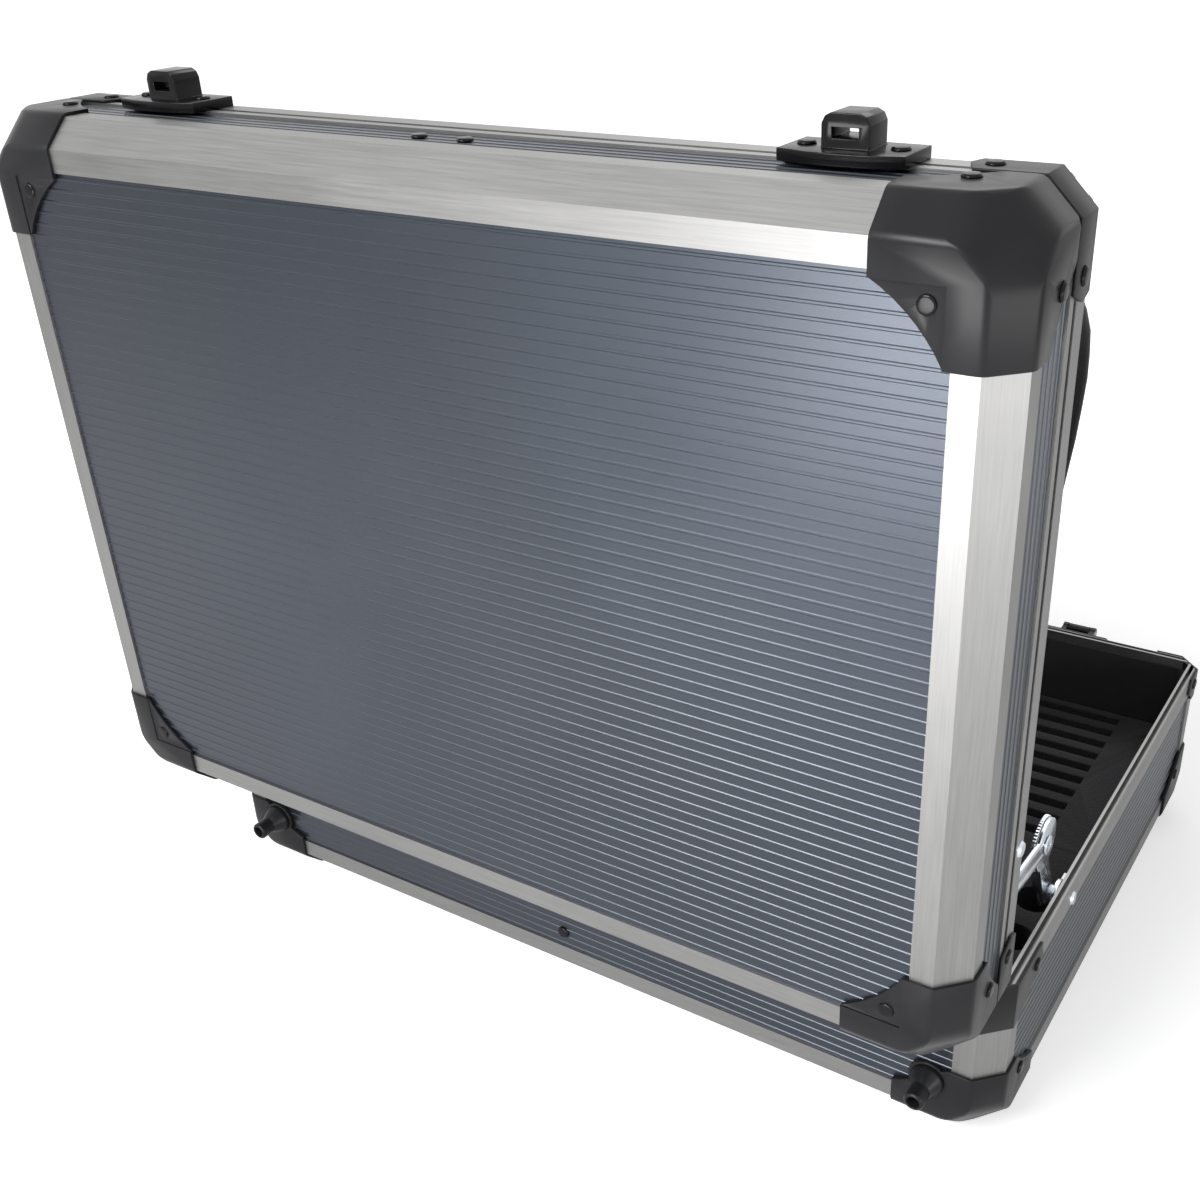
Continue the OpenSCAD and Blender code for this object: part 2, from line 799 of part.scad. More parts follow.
module hinge_base_leaf() {
    color(alu) in_base() translate([0, hinge_y, hinge_z]) {
        hinge_knuckles(0, hinge_pin_r, -1);
        translate([-hinge_l / 2, -hinge_out, -leaf_h - knuckle_r])
            cube([hinge_l, leaf_t + hinge_out - knuckle_r, leaf_h - knuckle_r * 0.2]);
    }
}

module hinge_lid_leaf() {
    color(alu) in_lid() translate([0, hinge_y, -part_gap / 2]) {
        hinge_knuckles(1, hinge_pin_r + hinge_gap, 1);
        translate([-hinge_l / 2, -hinge_out, knuckle_r * 1.2])
            cube([hinge_l, leaf_t + hinge_out - knuckle_r, leaf_h - knuckle_r]);
    }
}

module hinge_pin() {
    color(zinc) in_base() translate([-hinge_l / 2, hinge_y, hinge_z]) rotate([0, 90, 0])
        cylinder(r = hinge_pin_r, h = hinge_l, $fn = small_fn);
}

// Latches
module at_latch(side) {
    in_base() front() translate([side * latch_x, 0, 0]) children();
}

module latch_outline(w, h, c) {
    polygon([[-w / 2 + c, 0], [w / 2 - c, 0], [w / 2, c], [w / 2, h - c / 2], [w / 2 - c / 2, h],
        [-w / 2 + c / 2, h], [-w / 2, h - c / 2], [-w / 2, c]]);
}

module latch_plate_one() {
    plate_out(0, latch_t) translate([0, latch_z + ear_r - 1 - latch_h])
        latch_outline(latch_w, latch_h, latch_t * 2);
    for (s = [-1, 1]) translate([s * (barrel_w / 2 + latch_gap + ear_w / 2), 0, 0])
        out_rail(ear_w) difference() {
            union() {
                translate([latch_out, latch_z]) circle(ear_r, $fn = round_fn);
                translate([latch_t / 2, latch_z - ear_r]) square([latch_out - latch_t / 2, 2 * ear_r - 1]);
            }
            translate([latch_out, latch_z]) circle(latch_pin_r, $fn = small_fn);
        }
}

module latch_plates() {
    color(black) for (s = [-1, 1]) at_latch(s) latch_plate_one();
}

module latch_pins() {
    color(zinc) for (s = [-1, 1]) at_latch(s)
        translate([-barrel_w / 2 - latch_gap - ear_w, -latch_out, latch_z]) rotate([0, 90, 0])
            cylinder(r = latch_pin_r, h = barrel_w + 2 * (latch_gap + ear_w), $fn = small_fn);
}

// The flap hangs from its pin, turned half round from its closed place
module at_flap(side) {
    at_latch(side) translate([0, -latch_out, latch_z]) rotate([180, 0, 0]) children();
}

module flap_one() {
    difference() {
        union() {
            out_rail(barrel_w) circle(ear_r - flap_gap, $fn = round_fn);
            plate_out(flap_gap, flap_t) translate([-barrel_w / 2, 0]) square([barrel_w, ear_r + 2]);
            plate_out(flap_gap, flap_t) translate([0, ear_r + 1])
                latch_outline(flap_w, flap_l - ear_r - 1, flap_t);
        }
        out_rail(barrel_w + cut) circle(latch_pin_r + latch_gap, $fn = small_fn);
        plate_out(flap_gap - cut, flap_t + 2 * cut) union() {
            translate([-tower_w / 2 - 1, window_low]) square([tower_w + 2, window_high - window_low]);
            translate([-bolt_w * 0.35, slot_low])
                square([bolt_w * 0.7, bolt_travel + neck_l + 0.4]);
        }
    }
}

module slide_one() {
    plate_out(-bolt_in, bolt_t) translate([-bolt_w / 2, bolt_tip])
        polygon([[1, 0], [bolt_w - 1, 0], [bolt_w, 1], [bolt_w, neck_low + neck_l - bolt_tip],
            [0, neck_low + neck_l - bolt_tip], [0, 1]]);
    plate_out(-bolt_in + bolt_t / 2, bolt_in + flap_gap + flap_t)
        translate([-bolt_w * 0.3, neck_low]) square([bolt_w * 0.6, neck_l]);
    out_rail(bolt_w + latch_t + latch_t) translate([flap_gap + flap_t + 0.1, window_high + bolt_travel + 0.4])
        polygon([[0, 0], [1.6, 0], [2.9, 1.3], [2.9, 2.6], [2, 3.1], [2.9, 3.6], [2.9, 4.8], [2, 5.3],
            [2.9, 5.8], [2.9, 7.2], [1.6, 8.4], [0, 8.4]]);
}

module latch_flap_left() {
    color(black) at_flap(-1) flap_one();
}

module latch_flap_right() {
    color(black) at_flap(1) flap_one();
}

module latch_slide_left() {
    color(black) at_flap(-1) slide_one();
}

module latch_slide_right() {
    color(black) at_flap(1) slide_one();
}

// Handle
handle_z = base_h - handle_down;
face_in = skin - rib_h;

module handle_brackets() {
    color(black) for (s = [-1, 1]) at_handle(s) {
        plate_out(-face_in, bracket_t) translate([0, -handle_eye_r * 2.6])
            latch_outline(handle_eye_r * 4, handle_eye_r * 4.2, handle_eye_r * 0.8);
        for (e = [-1, 1]) translate([e * (handle_arm_w + ear_w + 2 * latch_gap) / 2, 0, 0])
            out_rail(ear_w) difference() {
                union() {
                    translate([handle_out, 0]) circle(handle_eye_r - 1, $fn = round_fn);
                    translate([0, 1 - handle_eye_r]) square([handle_out, 2 * handle_eye_r - 2]);
                }
                translate([handle_out, 0]) circle(handle_pin_r, $fn = small_fn);
            }
    }
}

module at_handle(side) {
    in_base() front() translate([side * handle_x, 0, handle_z]) children();
}

module handle_pins() {
    color(zinc) for (s = [-1, 1]) at_handle(s)
        translate([-handle_arm_w / 2 - latch_gap - ear_w, -handle_out, 0]) rotate([0, 90, 0])
            cylinder(r = handle_pin_r, h = handle_arm_w + 2 * (latch_gap + ear_w), $fn = small_fn);
}

module handle_bail() {
    color(zinc) {
        for (s = [-1, 1]) at_handle(s) out_rail(handle_arm_w) difference() {
            union() {
                translate([handle_out, 0]) circle(handle_eye_r - 1, $fn = round_fn);
                translate([handle_out, -handle_drop]) circle(handle_eye_r, $fn = round_fn);
                bar_2d([handle_out, -handle_drop], [handle_out, 0], handle_eye_r * 1.4);
            }
            translate([handle_out, 0]) circle(handle_pin_r + latch_gap, $fn = small_fn);
        }
        in_base() front() translate([0, -handle_out, handle_z - handle_drop]) rotate([0, 90, 0])
            cylinder(r = core_r, h = 2 * handle_x - handle_arm_w / 2, center = true, $fn = small_fn);
    }
}

module handle_grip() {
    l = handle_x - handle_arm_w / 2;
    r = grip_r;
    color(black) in_base() front() translate([0, -handle_out, handle_z - handle_drop])
        rotate([0, 90, 0]) rotate_extrude($fn = round_fn) polygon([[core_r, -l], [r * 0.7, -l],
            [r * 0.82, -l + r * 0.2], [r * 0.84, -l * 0.75], [r * 0.95, -l * 0.4], [r, -l * 0.1],
            [r, l * 0.1], [r * 0.95, l * 0.4], [r * 0.84, l * 0.75], [r * 0.82, l - r * 0.2],
            [r * 0.7, l], [core_r, l]]);
}

// Lid stays
module stay_side(side) {
    if (side > 0) children();
    else mirror([1, 0, 0]) children();
}

// Disc with a knurled edge
module knurled(r) {
    teeth = round(r * 4);
    turn = 180 / teeth;
    polygon([for (i = [0 : 2 * teeth - 1]) (r - (i % 2) * r / 28) * [cos(turn * i), sin(turn * i)]]);
}

module bracket_base_one() {
    difference() {
        union() {
            side_plate(bracket_x, bracket_t) translate(low_pivot) {
                circle(disc_r * 0.6, $fn = round_fn);
                translate([-disc_r, -disc_r * 0.6]) square([disc_r, disc_r * 0.9]);
            }
            side_plate(lower_x + arm_t + layer_gap, bracket_x - lower_x - arm_t - layer_gap)
                translate(low_pivot) circle(stay_pin_r * 1.7, $fn = round_fn);
        }
        side_plate(lower_x, wall_x) translate(low_pivot) circle(stay_pin_r, $fn = round_fn);
    }
    side_plate(lower_x - layer_gap, wall_x - lower_x + layer_gap) translate(low_pivot)
        circle(stay_pin_r, $fn = round_fn);
    side_plate(lower_x - layer_gap - pin_head_t, pin_head_t) translate(low_pivot)
        rotate(-cheek_turn) square([arm_w * 0.9, arm_w * 1.15], center = true);
}

module stay_base_brackets() {
    color(zinc) in_base() both_x() bracket_base_one();
}

module stay_base_rivets() {
    color(zinc) in_base() both_x() translate([case_w / 2, low_pivot[0], low_pivot[1] + skin])
        rotate([0, 90, 0]) plain_head();
}

lid_rivet = [lid_pivot[0] - disc_r * 3, strip_h * 0.36];

module lid_bracket_one() {
    e = arm_w / 2;
    root = [lid_rivet[0], e + skin];
    side_plate(bracket_x, bracket_t) union() {
        translate(root) circle(e, $fn = round_fn);
        translate(lid_pivot) circle(e, $fn = round_fn);
        bar_2d(root, lid_pivot, arm_w * 0.9);
    }
    side_plate(upper_x + arm_t + layer_gap, bracket_x - upper_x - arm_t - layer_gap)
        translate(lid_pivot) circle(stay_pin_r * 1.7, $fn = round_fn);
    side_plate(upper_x - layer_gap, arm_t + 2 * layer_gap + cut / 2) translate(lid_pivot)
        circle(stay_pin_r, $fn = round_fn);
    side_plate(upper_x - layer_gap - pin_head_t, pin_head_t) translate(lid_pivot)
        circle(stay_pin_r * 1.6, $fn = round_fn);
}

module stay_lid_brackets() {
    color(zinc) in_lid() both_x() lid_bracket_one();
}

module stay_lid_rivets() {
    color(zinc) in_lid() both_x() translate([case_w / 2, lid_rivet[0], lid_rivet[1]])
        rotate([0, 90, 0]) plain_head();
}

module lower_arm_one() {
    side_plate(lower_x, arm_t) difference() {
        union() {
            translate(knuckle_pt) knurled(disc_r);
            translate(low_pivot) circle(arm_w / 2, $fn = round_fn);
            bar_2d(low_pivot, knuckle_pt, arm_w);
        }
        translate(low_pivot) circle(stay_pin_r + pivot_gap, $fn = round_fn);
        translate(knuckle_pt) circle(stay_pin_r, $fn = round_fn);
    }
    side_plate(lower_x - arm_t * 2, arm_t * 2) difference() {
        bar_2d(low_pivot, knuckle_pt, arm_w);
        bar_2d(low_pivot, knuckle_pt, arm_w - 2 * arm_t);
        translate(low_pivot) circle(arm_w * 0.8, $fn = round_fn);
        translate(knuckle_pt) circle(disc_r, $fn = round_fn);
    }
}

module knuckle_one() {
    side_plate(lower_x, upper_x - lower_x + arm_t + layer_gap / 2) translate(knuckle_pt)
        circle(stay_pin_r, $fn = round_fn);
    side_plate(upper_x + arm_t + layer_gap / 2, knuckle_head_t) translate(knuckle_pt) difference() {
        circle(stay_pin_r * 1.8, $fn = round_fn);
        rotate(cheek_turn) square([stay_pin_r * 3, stay_pin_r * 0.4], center = true);
    }
    side_plate(lower_x - pin_head_t, pin_head_t) translate(knuckle_pt)
        circle(stay_pin_r * 1.5, $fn = round_fn);
}

module upper_arm_one() {
    side_plate(upper_x, arm_t) difference() {
        union() {
            translate(knuckle_pt) circle(disc_r * 0.96, $fn = round_fn);
            translate(lid_pivot_open) circle(arm_w / 2, $fn = round_fn);
            bar_2d(knuckle_pt, lid_pivot_open, arm_w);
        }
        translate(knuckle_pt) circle(stay_pin_r + pivot_gap, $fn = round_fn);
        translate(lid_pivot_open) circle(stay_pin_r + pivot_gap, $fn = round_fn);
    }
}

module stay_lower_arm_left() {
    color(zinc) in_base() stay_side(-1) lower_arm_one();
}

module stay_lower_arm_right() {
    color(zinc) in_base() stay_side(1) lower_arm_one();
}

module stay_knuckle_left() {
    color(zinc) in_base() stay_side(-1) knuckle_one();
}

module stay_knuckle_right() {
    color(zinc) in_base() stay_side(1) knuckle_one();
}

module stay_upper_arm_left() {
    color(zinc) in_base() stay_side(-1) upper_arm_one();
}

module stay_upper_arm_right() {
    color(zinc) in_base() stay_side(1) upper_arm_one();
}

// Lid shell
module lid_top_panel() {
    color(blue) in_lid() lid_flip() large_panel();
}

module lid_front_panel() {
    color(blue) in_lid() lid_flip() front() wall_panel(case_w, lid_h - lid_slot, lid_h - lid_rim_h);
}

module lid_rear_panel() {
    color(blue) in_lid() lid_flip() mirror([0, 1, 0]) front()
        wall_panel(case_w, lid_h - lid_slot, lid_h - lid_rim_h);
}

module lid_side_panels() {
    color(blue) in_lid() lid_flip() both_x() right()
        wall_panel(case_d, lid_h - lid_slot, lid_h - lid_rim_h);
}

module lid_edge_rails_long() {
    color(alu) in_lid() lid_flip() edge_rails_long();
}

module lid_edge_rails_short() {
    color(alu) in_lid() lid_flip() edge_rails_short();
}

module lid_corner_posts() {
    color(alu) in_lid() lid_flip() corner_posts(lip_end, lid_h - lid_rim_h);
}

module lid_rim_long() {
    color(alu) in_lid() corner_trim(-tongue_l, lid_rim_h) {
        front() mitred(case_w, -tongue_l, lid_rim_h) lid_rim_section(true);
        mirror([0, 1, 0]) front() mitred(case_w, -tongue_l, lid_rim_h) lid_rim_section(false);
    }
}

module lid_rim_short() {
    color(alu) in_lid() corner_trim(-tongue_l, lid_rim_h)
        both_x() right() mitred(case_d, -tongue_l, lid_rim_h) lid_rim_section(true);
}

module lid_seal() {
    color(black) in_lid() translate([0, 0, strip_h]) linear_extrude(seal_h) {
        for (m = [0, 1]) mirror([0, m]) translate([-case_w / 2 + plate_lid_arm, -case_d / 2 + skin / 2])
            square([case_w - 2 * plate_lid_arm, seal_depth - skin / 2]);
        for (m = [0, 1]) mirror([m, 0]) translate([-case_w / 2 + skin / 2, -case_d / 2 + plate_lid_arm])
            square([seal_depth - skin / 2, case_d - 2 * plate_lid_arm]);
    }
}

module lid_rim_corners() {
    color(black) in_lid() both_x() both_y() corner_plate(0, lid_rim_h, 0) lid_plate_outline();
}

module lid_corner_caps() {
    color(black) in_lid() lid_flip() both_x() both_y() one_cap(lid_h - lid_rim_h, true);
}

module hasp_one() {
    w = tower_w / 2;
    c = tower_w / 5;
    difference() {
        union() {
            plate_out(0, hasp_t) polygon([[-latch_w / 2, skin / 2], [latch_w / 2, skin / 2],
                [latch_w / 2, hasp_h * 0.86], [latch_w / 4, hasp_h * 0.97], [0, hasp_h],
                [-latch_w / 4, hasp_h * 0.97], [-latch_w / 2, hasp_h * 0.86]]);
            mirror([0, 1, 0]) translate([0, 0, tower_low]) linear_extrude(tower_h)
                polygon([[-w, hasp_t / 2], [w, hasp_t / 2], [w, tower_out - c],
                    [w - c / 3, tower_out - c / 3], [w - c, tower_out], [c - w, tower_out],
                    [c / 3 - w, tower_out - c / 3], [-w, tower_out - c]]);
        }
        translate([-tower_slot_w / 2, -latch_out + bolt_in - bolt_t - tower_slot_gap, -cut])
            cube([tower_slot_w, bolt_t + 2 * tower_slot_gap, lid_h]);
    }
}

module hasp_towers() {
    color(black) in_lid() for (s = [-1, 1]) front() translate([s * latch_x, 0, 0]) hasp_one();
}

module lid_rivets() {
    color(black) in_lid() {
        lid_flip() both_x() both_y() one_cap_rivets(true);
        both_x() both_y() corner() both_walls()
            translate([plate_lid_arm - strip_h, lid_rim_h / 2, plate_proud]) plain_head();
        for (s = [-1, 1]) for (e = [-1, 1])
            front() translate([s * latch_x + e * latch_w * 0.37, -hasp_t, hasp_h * 0.45])
                rotate([90, 0, 0]) plain_head();
        for (s = [-1, 1]) front() translate([s * rivet_head_r * 3.1, face_in, (lid_h - chamfer_leg) * 0.56])
            rotate([90, 0, 0]) plain_head();
    }
}

module lid_lining() {
    color(black) in_lid() lid_flip() difference() {
        tipless_all(facet_lining) translate([0, 0, inner])
            chamfer_box(case_w - 2 * inner, case_d - 2 * inner, lid_h - inner - skin, lining_leg);
        tipless_all(facet_room) translate([0, 0, lining_in])
            chamfer_box(case_w - 2 * lining_in, case_d - 2 * lining_in, lid_h, lining_leg);
    }
}

// Bowed board of the pocket, as shares of its run and its drop
pocket_shares = [[0, 0.3], [0.04, -0.06], [0.1, -0.56], [0.15, -0.76], [0.21, -0.93],
    [0.27, -0.985], [0.33, -1], [0.39, -0.95], [0.47, -0.86], [0.53, -0.75], [0.6, -0.62],
    [0.68, -0.4], [0.77, -0.08], [0.86, 0.35]];

module lid_pocket() {
    y0 = -case_d / 2 + pocket_front;
    run = hinge_y - pocket_root - y0;
    low = [for (s = pocket_shares) [y0 + s[0] * run, s[1] * pocket_drop]];
    high = [for (s = pocket_shares)
        [y0 + s[0] * run + pocket_t * (0.5 - s[0]), s[1] * pocket_drop + pocket_t]];
    n = len(low) - 1;
    top = lid_h - lining_in;
    w = case_w - 2 * (lining_in + pocket_side);
    color(black) in_lid() intersection() {
        lid_flip() translate([0, 0, lining_in])
            chamfer_box(w, case_d - 2 * lining_in, lid_h + pocket_drop + cut, lining_leg);
        translate([-w / 2 - cut, 0, 0]) rotate([90, 0, 90]) linear_extrude(w + 2 * cut)
            polygon(concat(low, [[y0 + run, top], [y0 + run - pocket_t, top]],
                [for (i = [n : -1 : 0]) high[i]]));
    }
}

// Assembly
base_bottom_panel();
base_front_panel();
base_rear_panel();
base_side_panels();
base_edge_rails_long();
base_edge_rails_short();
base_corner_posts();
base_rim_long();
base_rim_short();
base_rim_corners();
base_front_caps();
base_rear_caps();
rear_feet();
base_lining();
foam_floor();
foam_slots();
foam_tray();
base_rivets();
stay_base_brackets();
stay_base_rivets();
hinge_base_leaf();
hinge_pin();
latch_plates();
latch_pins();
handle_brackets();
handle_pins();
latch_flap_left();
latch_flap_right();
latch_slide_left();
latch_slide_right();
handle_bail();
handle_grip();
stay_lower_arm_left();
stay_lower_arm_right();
stay_knuckle_left();
stay_knuckle_right();
stay_upper_arm_left();
stay_upper_arm_right();
lid_top_panel();
lid_front_panel();
lid_rear_panel();
lid_side_panels();
lid_edge_rails_long();
lid_edge_rails_short();
lid_corner_posts();
lid_rim_long();
lid_rim_short();
lid_seal();
lid_rim_corners();
lid_corner_caps();
hasp_towers();
lid_rivets();
lid_lining();
lid_pocket();
hinge_lid_leaf();
stay_lid_brackets();
stay_lid_rivets();
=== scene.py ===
"""Looks, light and camera for an open aluminium tool case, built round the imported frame."""

import json
import logging
import math
from dataclasses import dataclass
from enum import Enum

import bpy
from mathutils import Matrix, Vector

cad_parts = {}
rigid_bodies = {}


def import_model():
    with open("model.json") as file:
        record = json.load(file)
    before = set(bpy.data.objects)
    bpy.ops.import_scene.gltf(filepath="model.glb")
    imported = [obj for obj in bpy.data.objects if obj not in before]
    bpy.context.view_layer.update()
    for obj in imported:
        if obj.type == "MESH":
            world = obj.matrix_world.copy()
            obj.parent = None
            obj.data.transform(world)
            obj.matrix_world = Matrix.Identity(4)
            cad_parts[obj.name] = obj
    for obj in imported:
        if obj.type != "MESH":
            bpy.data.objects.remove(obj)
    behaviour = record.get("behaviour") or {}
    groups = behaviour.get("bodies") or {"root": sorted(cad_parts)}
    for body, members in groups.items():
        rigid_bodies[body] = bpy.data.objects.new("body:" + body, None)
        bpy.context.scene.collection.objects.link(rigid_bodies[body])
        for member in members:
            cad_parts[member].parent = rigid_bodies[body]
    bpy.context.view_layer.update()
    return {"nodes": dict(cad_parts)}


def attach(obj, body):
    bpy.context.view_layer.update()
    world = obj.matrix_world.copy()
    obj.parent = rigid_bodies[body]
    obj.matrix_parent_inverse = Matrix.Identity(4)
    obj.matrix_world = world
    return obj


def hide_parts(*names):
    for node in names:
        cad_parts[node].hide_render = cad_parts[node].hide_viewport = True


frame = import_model()

log = logging.getLogger("tool_case")

Triple = tuple[float, float, float]
Socket = str | int

MM = 0.001
EVEN: Triple = (1.0, 1.0, 1.0)
WHITE: Triple = (1.0, 1.0, 1.0)
BLACK: Triple = (0.0, 0.0, 0.0)

# Socket numbers of a Mix node that blends two colours.
MIX_FACTOR = 0
MIX_FIRST = 6
MIX_SECOND = 7
MIX_RESULT = 2


class Grain(Enum):
    """The way an extruded bar's drawing lines run, as the stretch of its pattern."""

    ACROSS = (0.02, 1.0, 1.0)
    DEEP = (1.0, 0.02, 0.02)
    UPRIGHT = (1.0, 1.0, 0.02)


class Side(Enum):
    """Which side of the case a paired piece sits on, as its name's ending."""

    LEFT = "left"
    RIGHT = "right"


# --------------------------------------------------------------------------- shader helpers


@dataclass(frozen=True)
class Tones:
    """The two colours between which a surface varies."""

    low: Triple
    high: Triple


@dataclass(frozen=True)
class Patches:
    """How fine a mask of patches is and how strongly it shows."""

    scale: float
    amount: float


@dataclass(frozen=True)
class Relief:
    """How fine a bump is, how strongly it shows and how high it stands in metres."""

    scale: float
    strength: float
    height: float


def add_node(tree: bpy.types.NodeTree, kind: str, values: dict[str, object]) -> bpy.types.Node:
    """Adds a node and sets its attributes or input values.

    Args:
        tree: the node tree that gets it.
        kind: the node's type name.
        values: attributes, or inputs written with underscores for spaces.

    Returns:
        The new node.
    """
    node = tree.nodes.new(kind)
    for key, value in values.items():
        if hasattr(node, key):
            setattr(node, key, value)
        else:
            node.inputs[key.replace("_", " ")].default_value = value
    return node


class Graph:
    """A material's node tree, with short calls to add and join nodes."""

    def __init__(self, name: str) -> None:
        """Starts an empty material.

        Args:
            name: the material's name.
        """
        self.material = bpy.data.materials.new(name)
        self.material.use_nodes = True
        self.tree = self.material.node_tree
        self.tree.nodes.clear()
        self.output = self.tree.nodes.new("ShaderNodeOutputMaterial")
        self.shader = self.tree.nodes.new("ShaderNodeBsdfPrincipled")
        self.join(self.shader, "BSDF", self.output, "Surface")
        self.place = self.tree.nodes.new("ShaderNodeTexCoord")

    def add(self, kind: str, **values: object) -> bpy.types.Node:
        """Adds a node and sets its attributes or input values."""
        return add_node(self.tree, kind, values)

    def join(self, a: bpy.types.Node, out: Socket, b: bpy.types.Node, into: Socket) -> None:
        """Links one node's output to another's input."""
        self.tree.links.new(a.outputs[out], b.inputs[into])

    def effect(self, tree: bpy.types.NodeTree, stretch: Triple = EVEN,
               **values: float) -> bpy.types.Node:
        """Places a shared effect on object coordinates with its own values.

        Args:
            tree: the shared effect.
            stretch: the scale of its coordinates on each axis.
            **values: its inputs.

        Returns:
            The placed group node.
        """
        mapping = self.add("ShaderNodeMapping")
        mapping.inputs["Scale"].default_value = stretch
        self.join(self.place, "Object", mapping, "Vector")
        node = self.add("ShaderNodeGroup")
        node.node_tree = tree
        for key, value in values.items():
            node.inputs[key].default_value = value
        self.join(mapping, "Vector", node, "Vector")
        return node

    def patches(self, tree: bpy.types.NodeTree, patches: Patches) -> bpy.types.Node:
        """Places a shared mask with its own scale and amount."""
        return self.effect(tree, Scale=patches.scale, Amount=patches.amount)

    def ramp(self, source: bpy.types.Node, out: Socket, low: float, high: float,
             tones: Tones) -> bpy.types.Node:
        """Adds a two-stop colour ramp fed by a value.

        Args:
            source: the node that gives the value.
            out: its output.
            low: the value of the first colour.
            high: the value of the second colour.
            tones: the two colours.

        Returns:
            The ramp.
        """
        node = self.add("ShaderNodeValToRGB")
        first, second = node.color_ramp.elements
        first.position, second.position = low, high
        first.color, second.color = (*tones.low, 1.0), (*tones.high, 1.0)
        self.join(source, out, node, "Fac")
        return node

    def tint(self, source: bpy.types.Node, out: Socket, low: float, high: float,
             tones: Tones) -> None:
        """Feeds the base colour with a ramp on a value."""
        self.join(self.ramp(source, out, low, high, tones), "Color", self.shader, "Base Color")

    def roughen(self, source: bpy.types.Node, out: Socket, low: float, high: float) -> None:
        """Feeds the roughness with a 0 to 1 value mapped to a range.

        Args:
            source: the node that gives the value.
            out: its output.
            low: the roughness at 0.
            high: the roughness at 1.
        """
        node = self.add("ShaderNodeMapRange", To_Min=low, To_Max=high)
        self.join(source, out, node, "Value")
        self.join(node, "Result", self.shader, "Roughness")

    def bump(self, source: bpy.types.Node, out: Socket, relief: Relief) -> None:
        """Feeds the normal with a bump from a height value.

        Args:
            source: the node that gives the height.
            out: its output.
            relief: the bump's strength and height.
        """
        node = self.add("ShaderNodeBump", Strength=relief.strength, Distance=relief.height)
        self.join(source, out, node, "Height")
        self.join(node, "Normal", self.shader, "Normal")

    def constant(self, **values: object) -> None:
        """Sets plain values on the shader's own sockets."""
        for key, value in values.items():
            self.shader.inputs[key.replace("_", " ")].default_value = value


class EffectGroup:
    """A shared shader effect with named inputs and one output."""

    def __init__(self, name: str, inputs: tuple[str, ...], output: str) -> None:
        """Starts the group.

        Args:
            name: the group's name.
            inputs: the names of its value inputs.
            output: the name of its one output.
        """
        self.tree = bpy.data.node_groups.new(name, "ShaderNodeTree")
        face = self.tree.interface
        face.new_socket("Vector", in_out="INPUT", socket_type="NodeSocketVector")
        for key in inputs:
            face.new_socket(key, in_out="INPUT", socket_type="NodeSocketFloat")
        face.new_socket(output, in_out="OUTPUT", socket_type="NodeSocketFloat")
        self.source = self.tree.nodes.new("NodeGroupInput")
        self.sink = self.tree.nodes.new("NodeGroupOutput")
        self.output = output

    def node(self, kind: str, **values: object) -> bpy.types.Node:
        """Adds a node inside the group and sets its attributes or input values."""
        return add_node(self.tree, kind, values)

    def link(self, a: bpy.types.Node, out: Socket, b: bpy.types.Node, into: Socket) -> None:
        """Links two nodes inside the group."""
        self.tree.links.new(a.outputs[out], b.inputs[into])

    def texture(self, kind: str, **values: object) -> bpy.types.Node:
        """Adds a texture on the group's own coordinates and scale.

        Args:
            kind: the texture node's type name.
            **values: its attributes or input values.

        Returns:
            The texture node.
        """
        node = self.node(kind, **values)
        self.link(self.source, "Vector", node, "Vector")
        self.link(self.source, "Scale", node, "Scale")
        return node

    def combine(self, operation: str, a: bpy.types.Node, out: Socket, b: bpy.types.Node,
                other: Socket) -> bpy.types.Node:
        """Adds a Math node on two linked values.

        Args:
            operation: what it does with them.
            a: the node that gives the first value.
            out: that node's output.
            b: the node that gives the second value.
            other: that node's output.

        Returns:
            The Math node.
        """
        node = self.node("ShaderNodeMath", operation=operation)
        self.link(a, out, node, 0)
        self.link(b, other, node, 1)
        return node

    def change(self, operation: str, a: bpy.types.Node, out: Socket, value: float,
               clamp: bool = False) -> bpy.types.Node:
        """Adds a Math node on one linked value and one constant.

        Args:
            operation: what it does with them.
            a: the node that gives the value.
            out: that node's output.
            value: the constant.
            clamp: whether the result is kept between 0 and 1.

        Returns:
            The Math node.
        """
        node = self.node("ShaderNodeMath", operation=operation, use_clamp=clamp)
        node.inputs[1].default_value = value
        self.link(a, out, node, 0)
        return node

    def above(self, a: bpy.types.Node, level: float, gain: float) -> bpy.types.Node:
        """Makes a mask of where a noise rises above a level."""
        rise = self.change("SUBTRACT", a, "Fac", level)
        return self.change("MULTIPLY", rise, 0, gain, clamp=True)

    def close(self, last: bpy.types.Node, out: Socket) -> bpy.types.NodeTree:
        """Joins the last node to the group's output."""
        self.link(last, out, self.sink, self.output)
        return self.tree


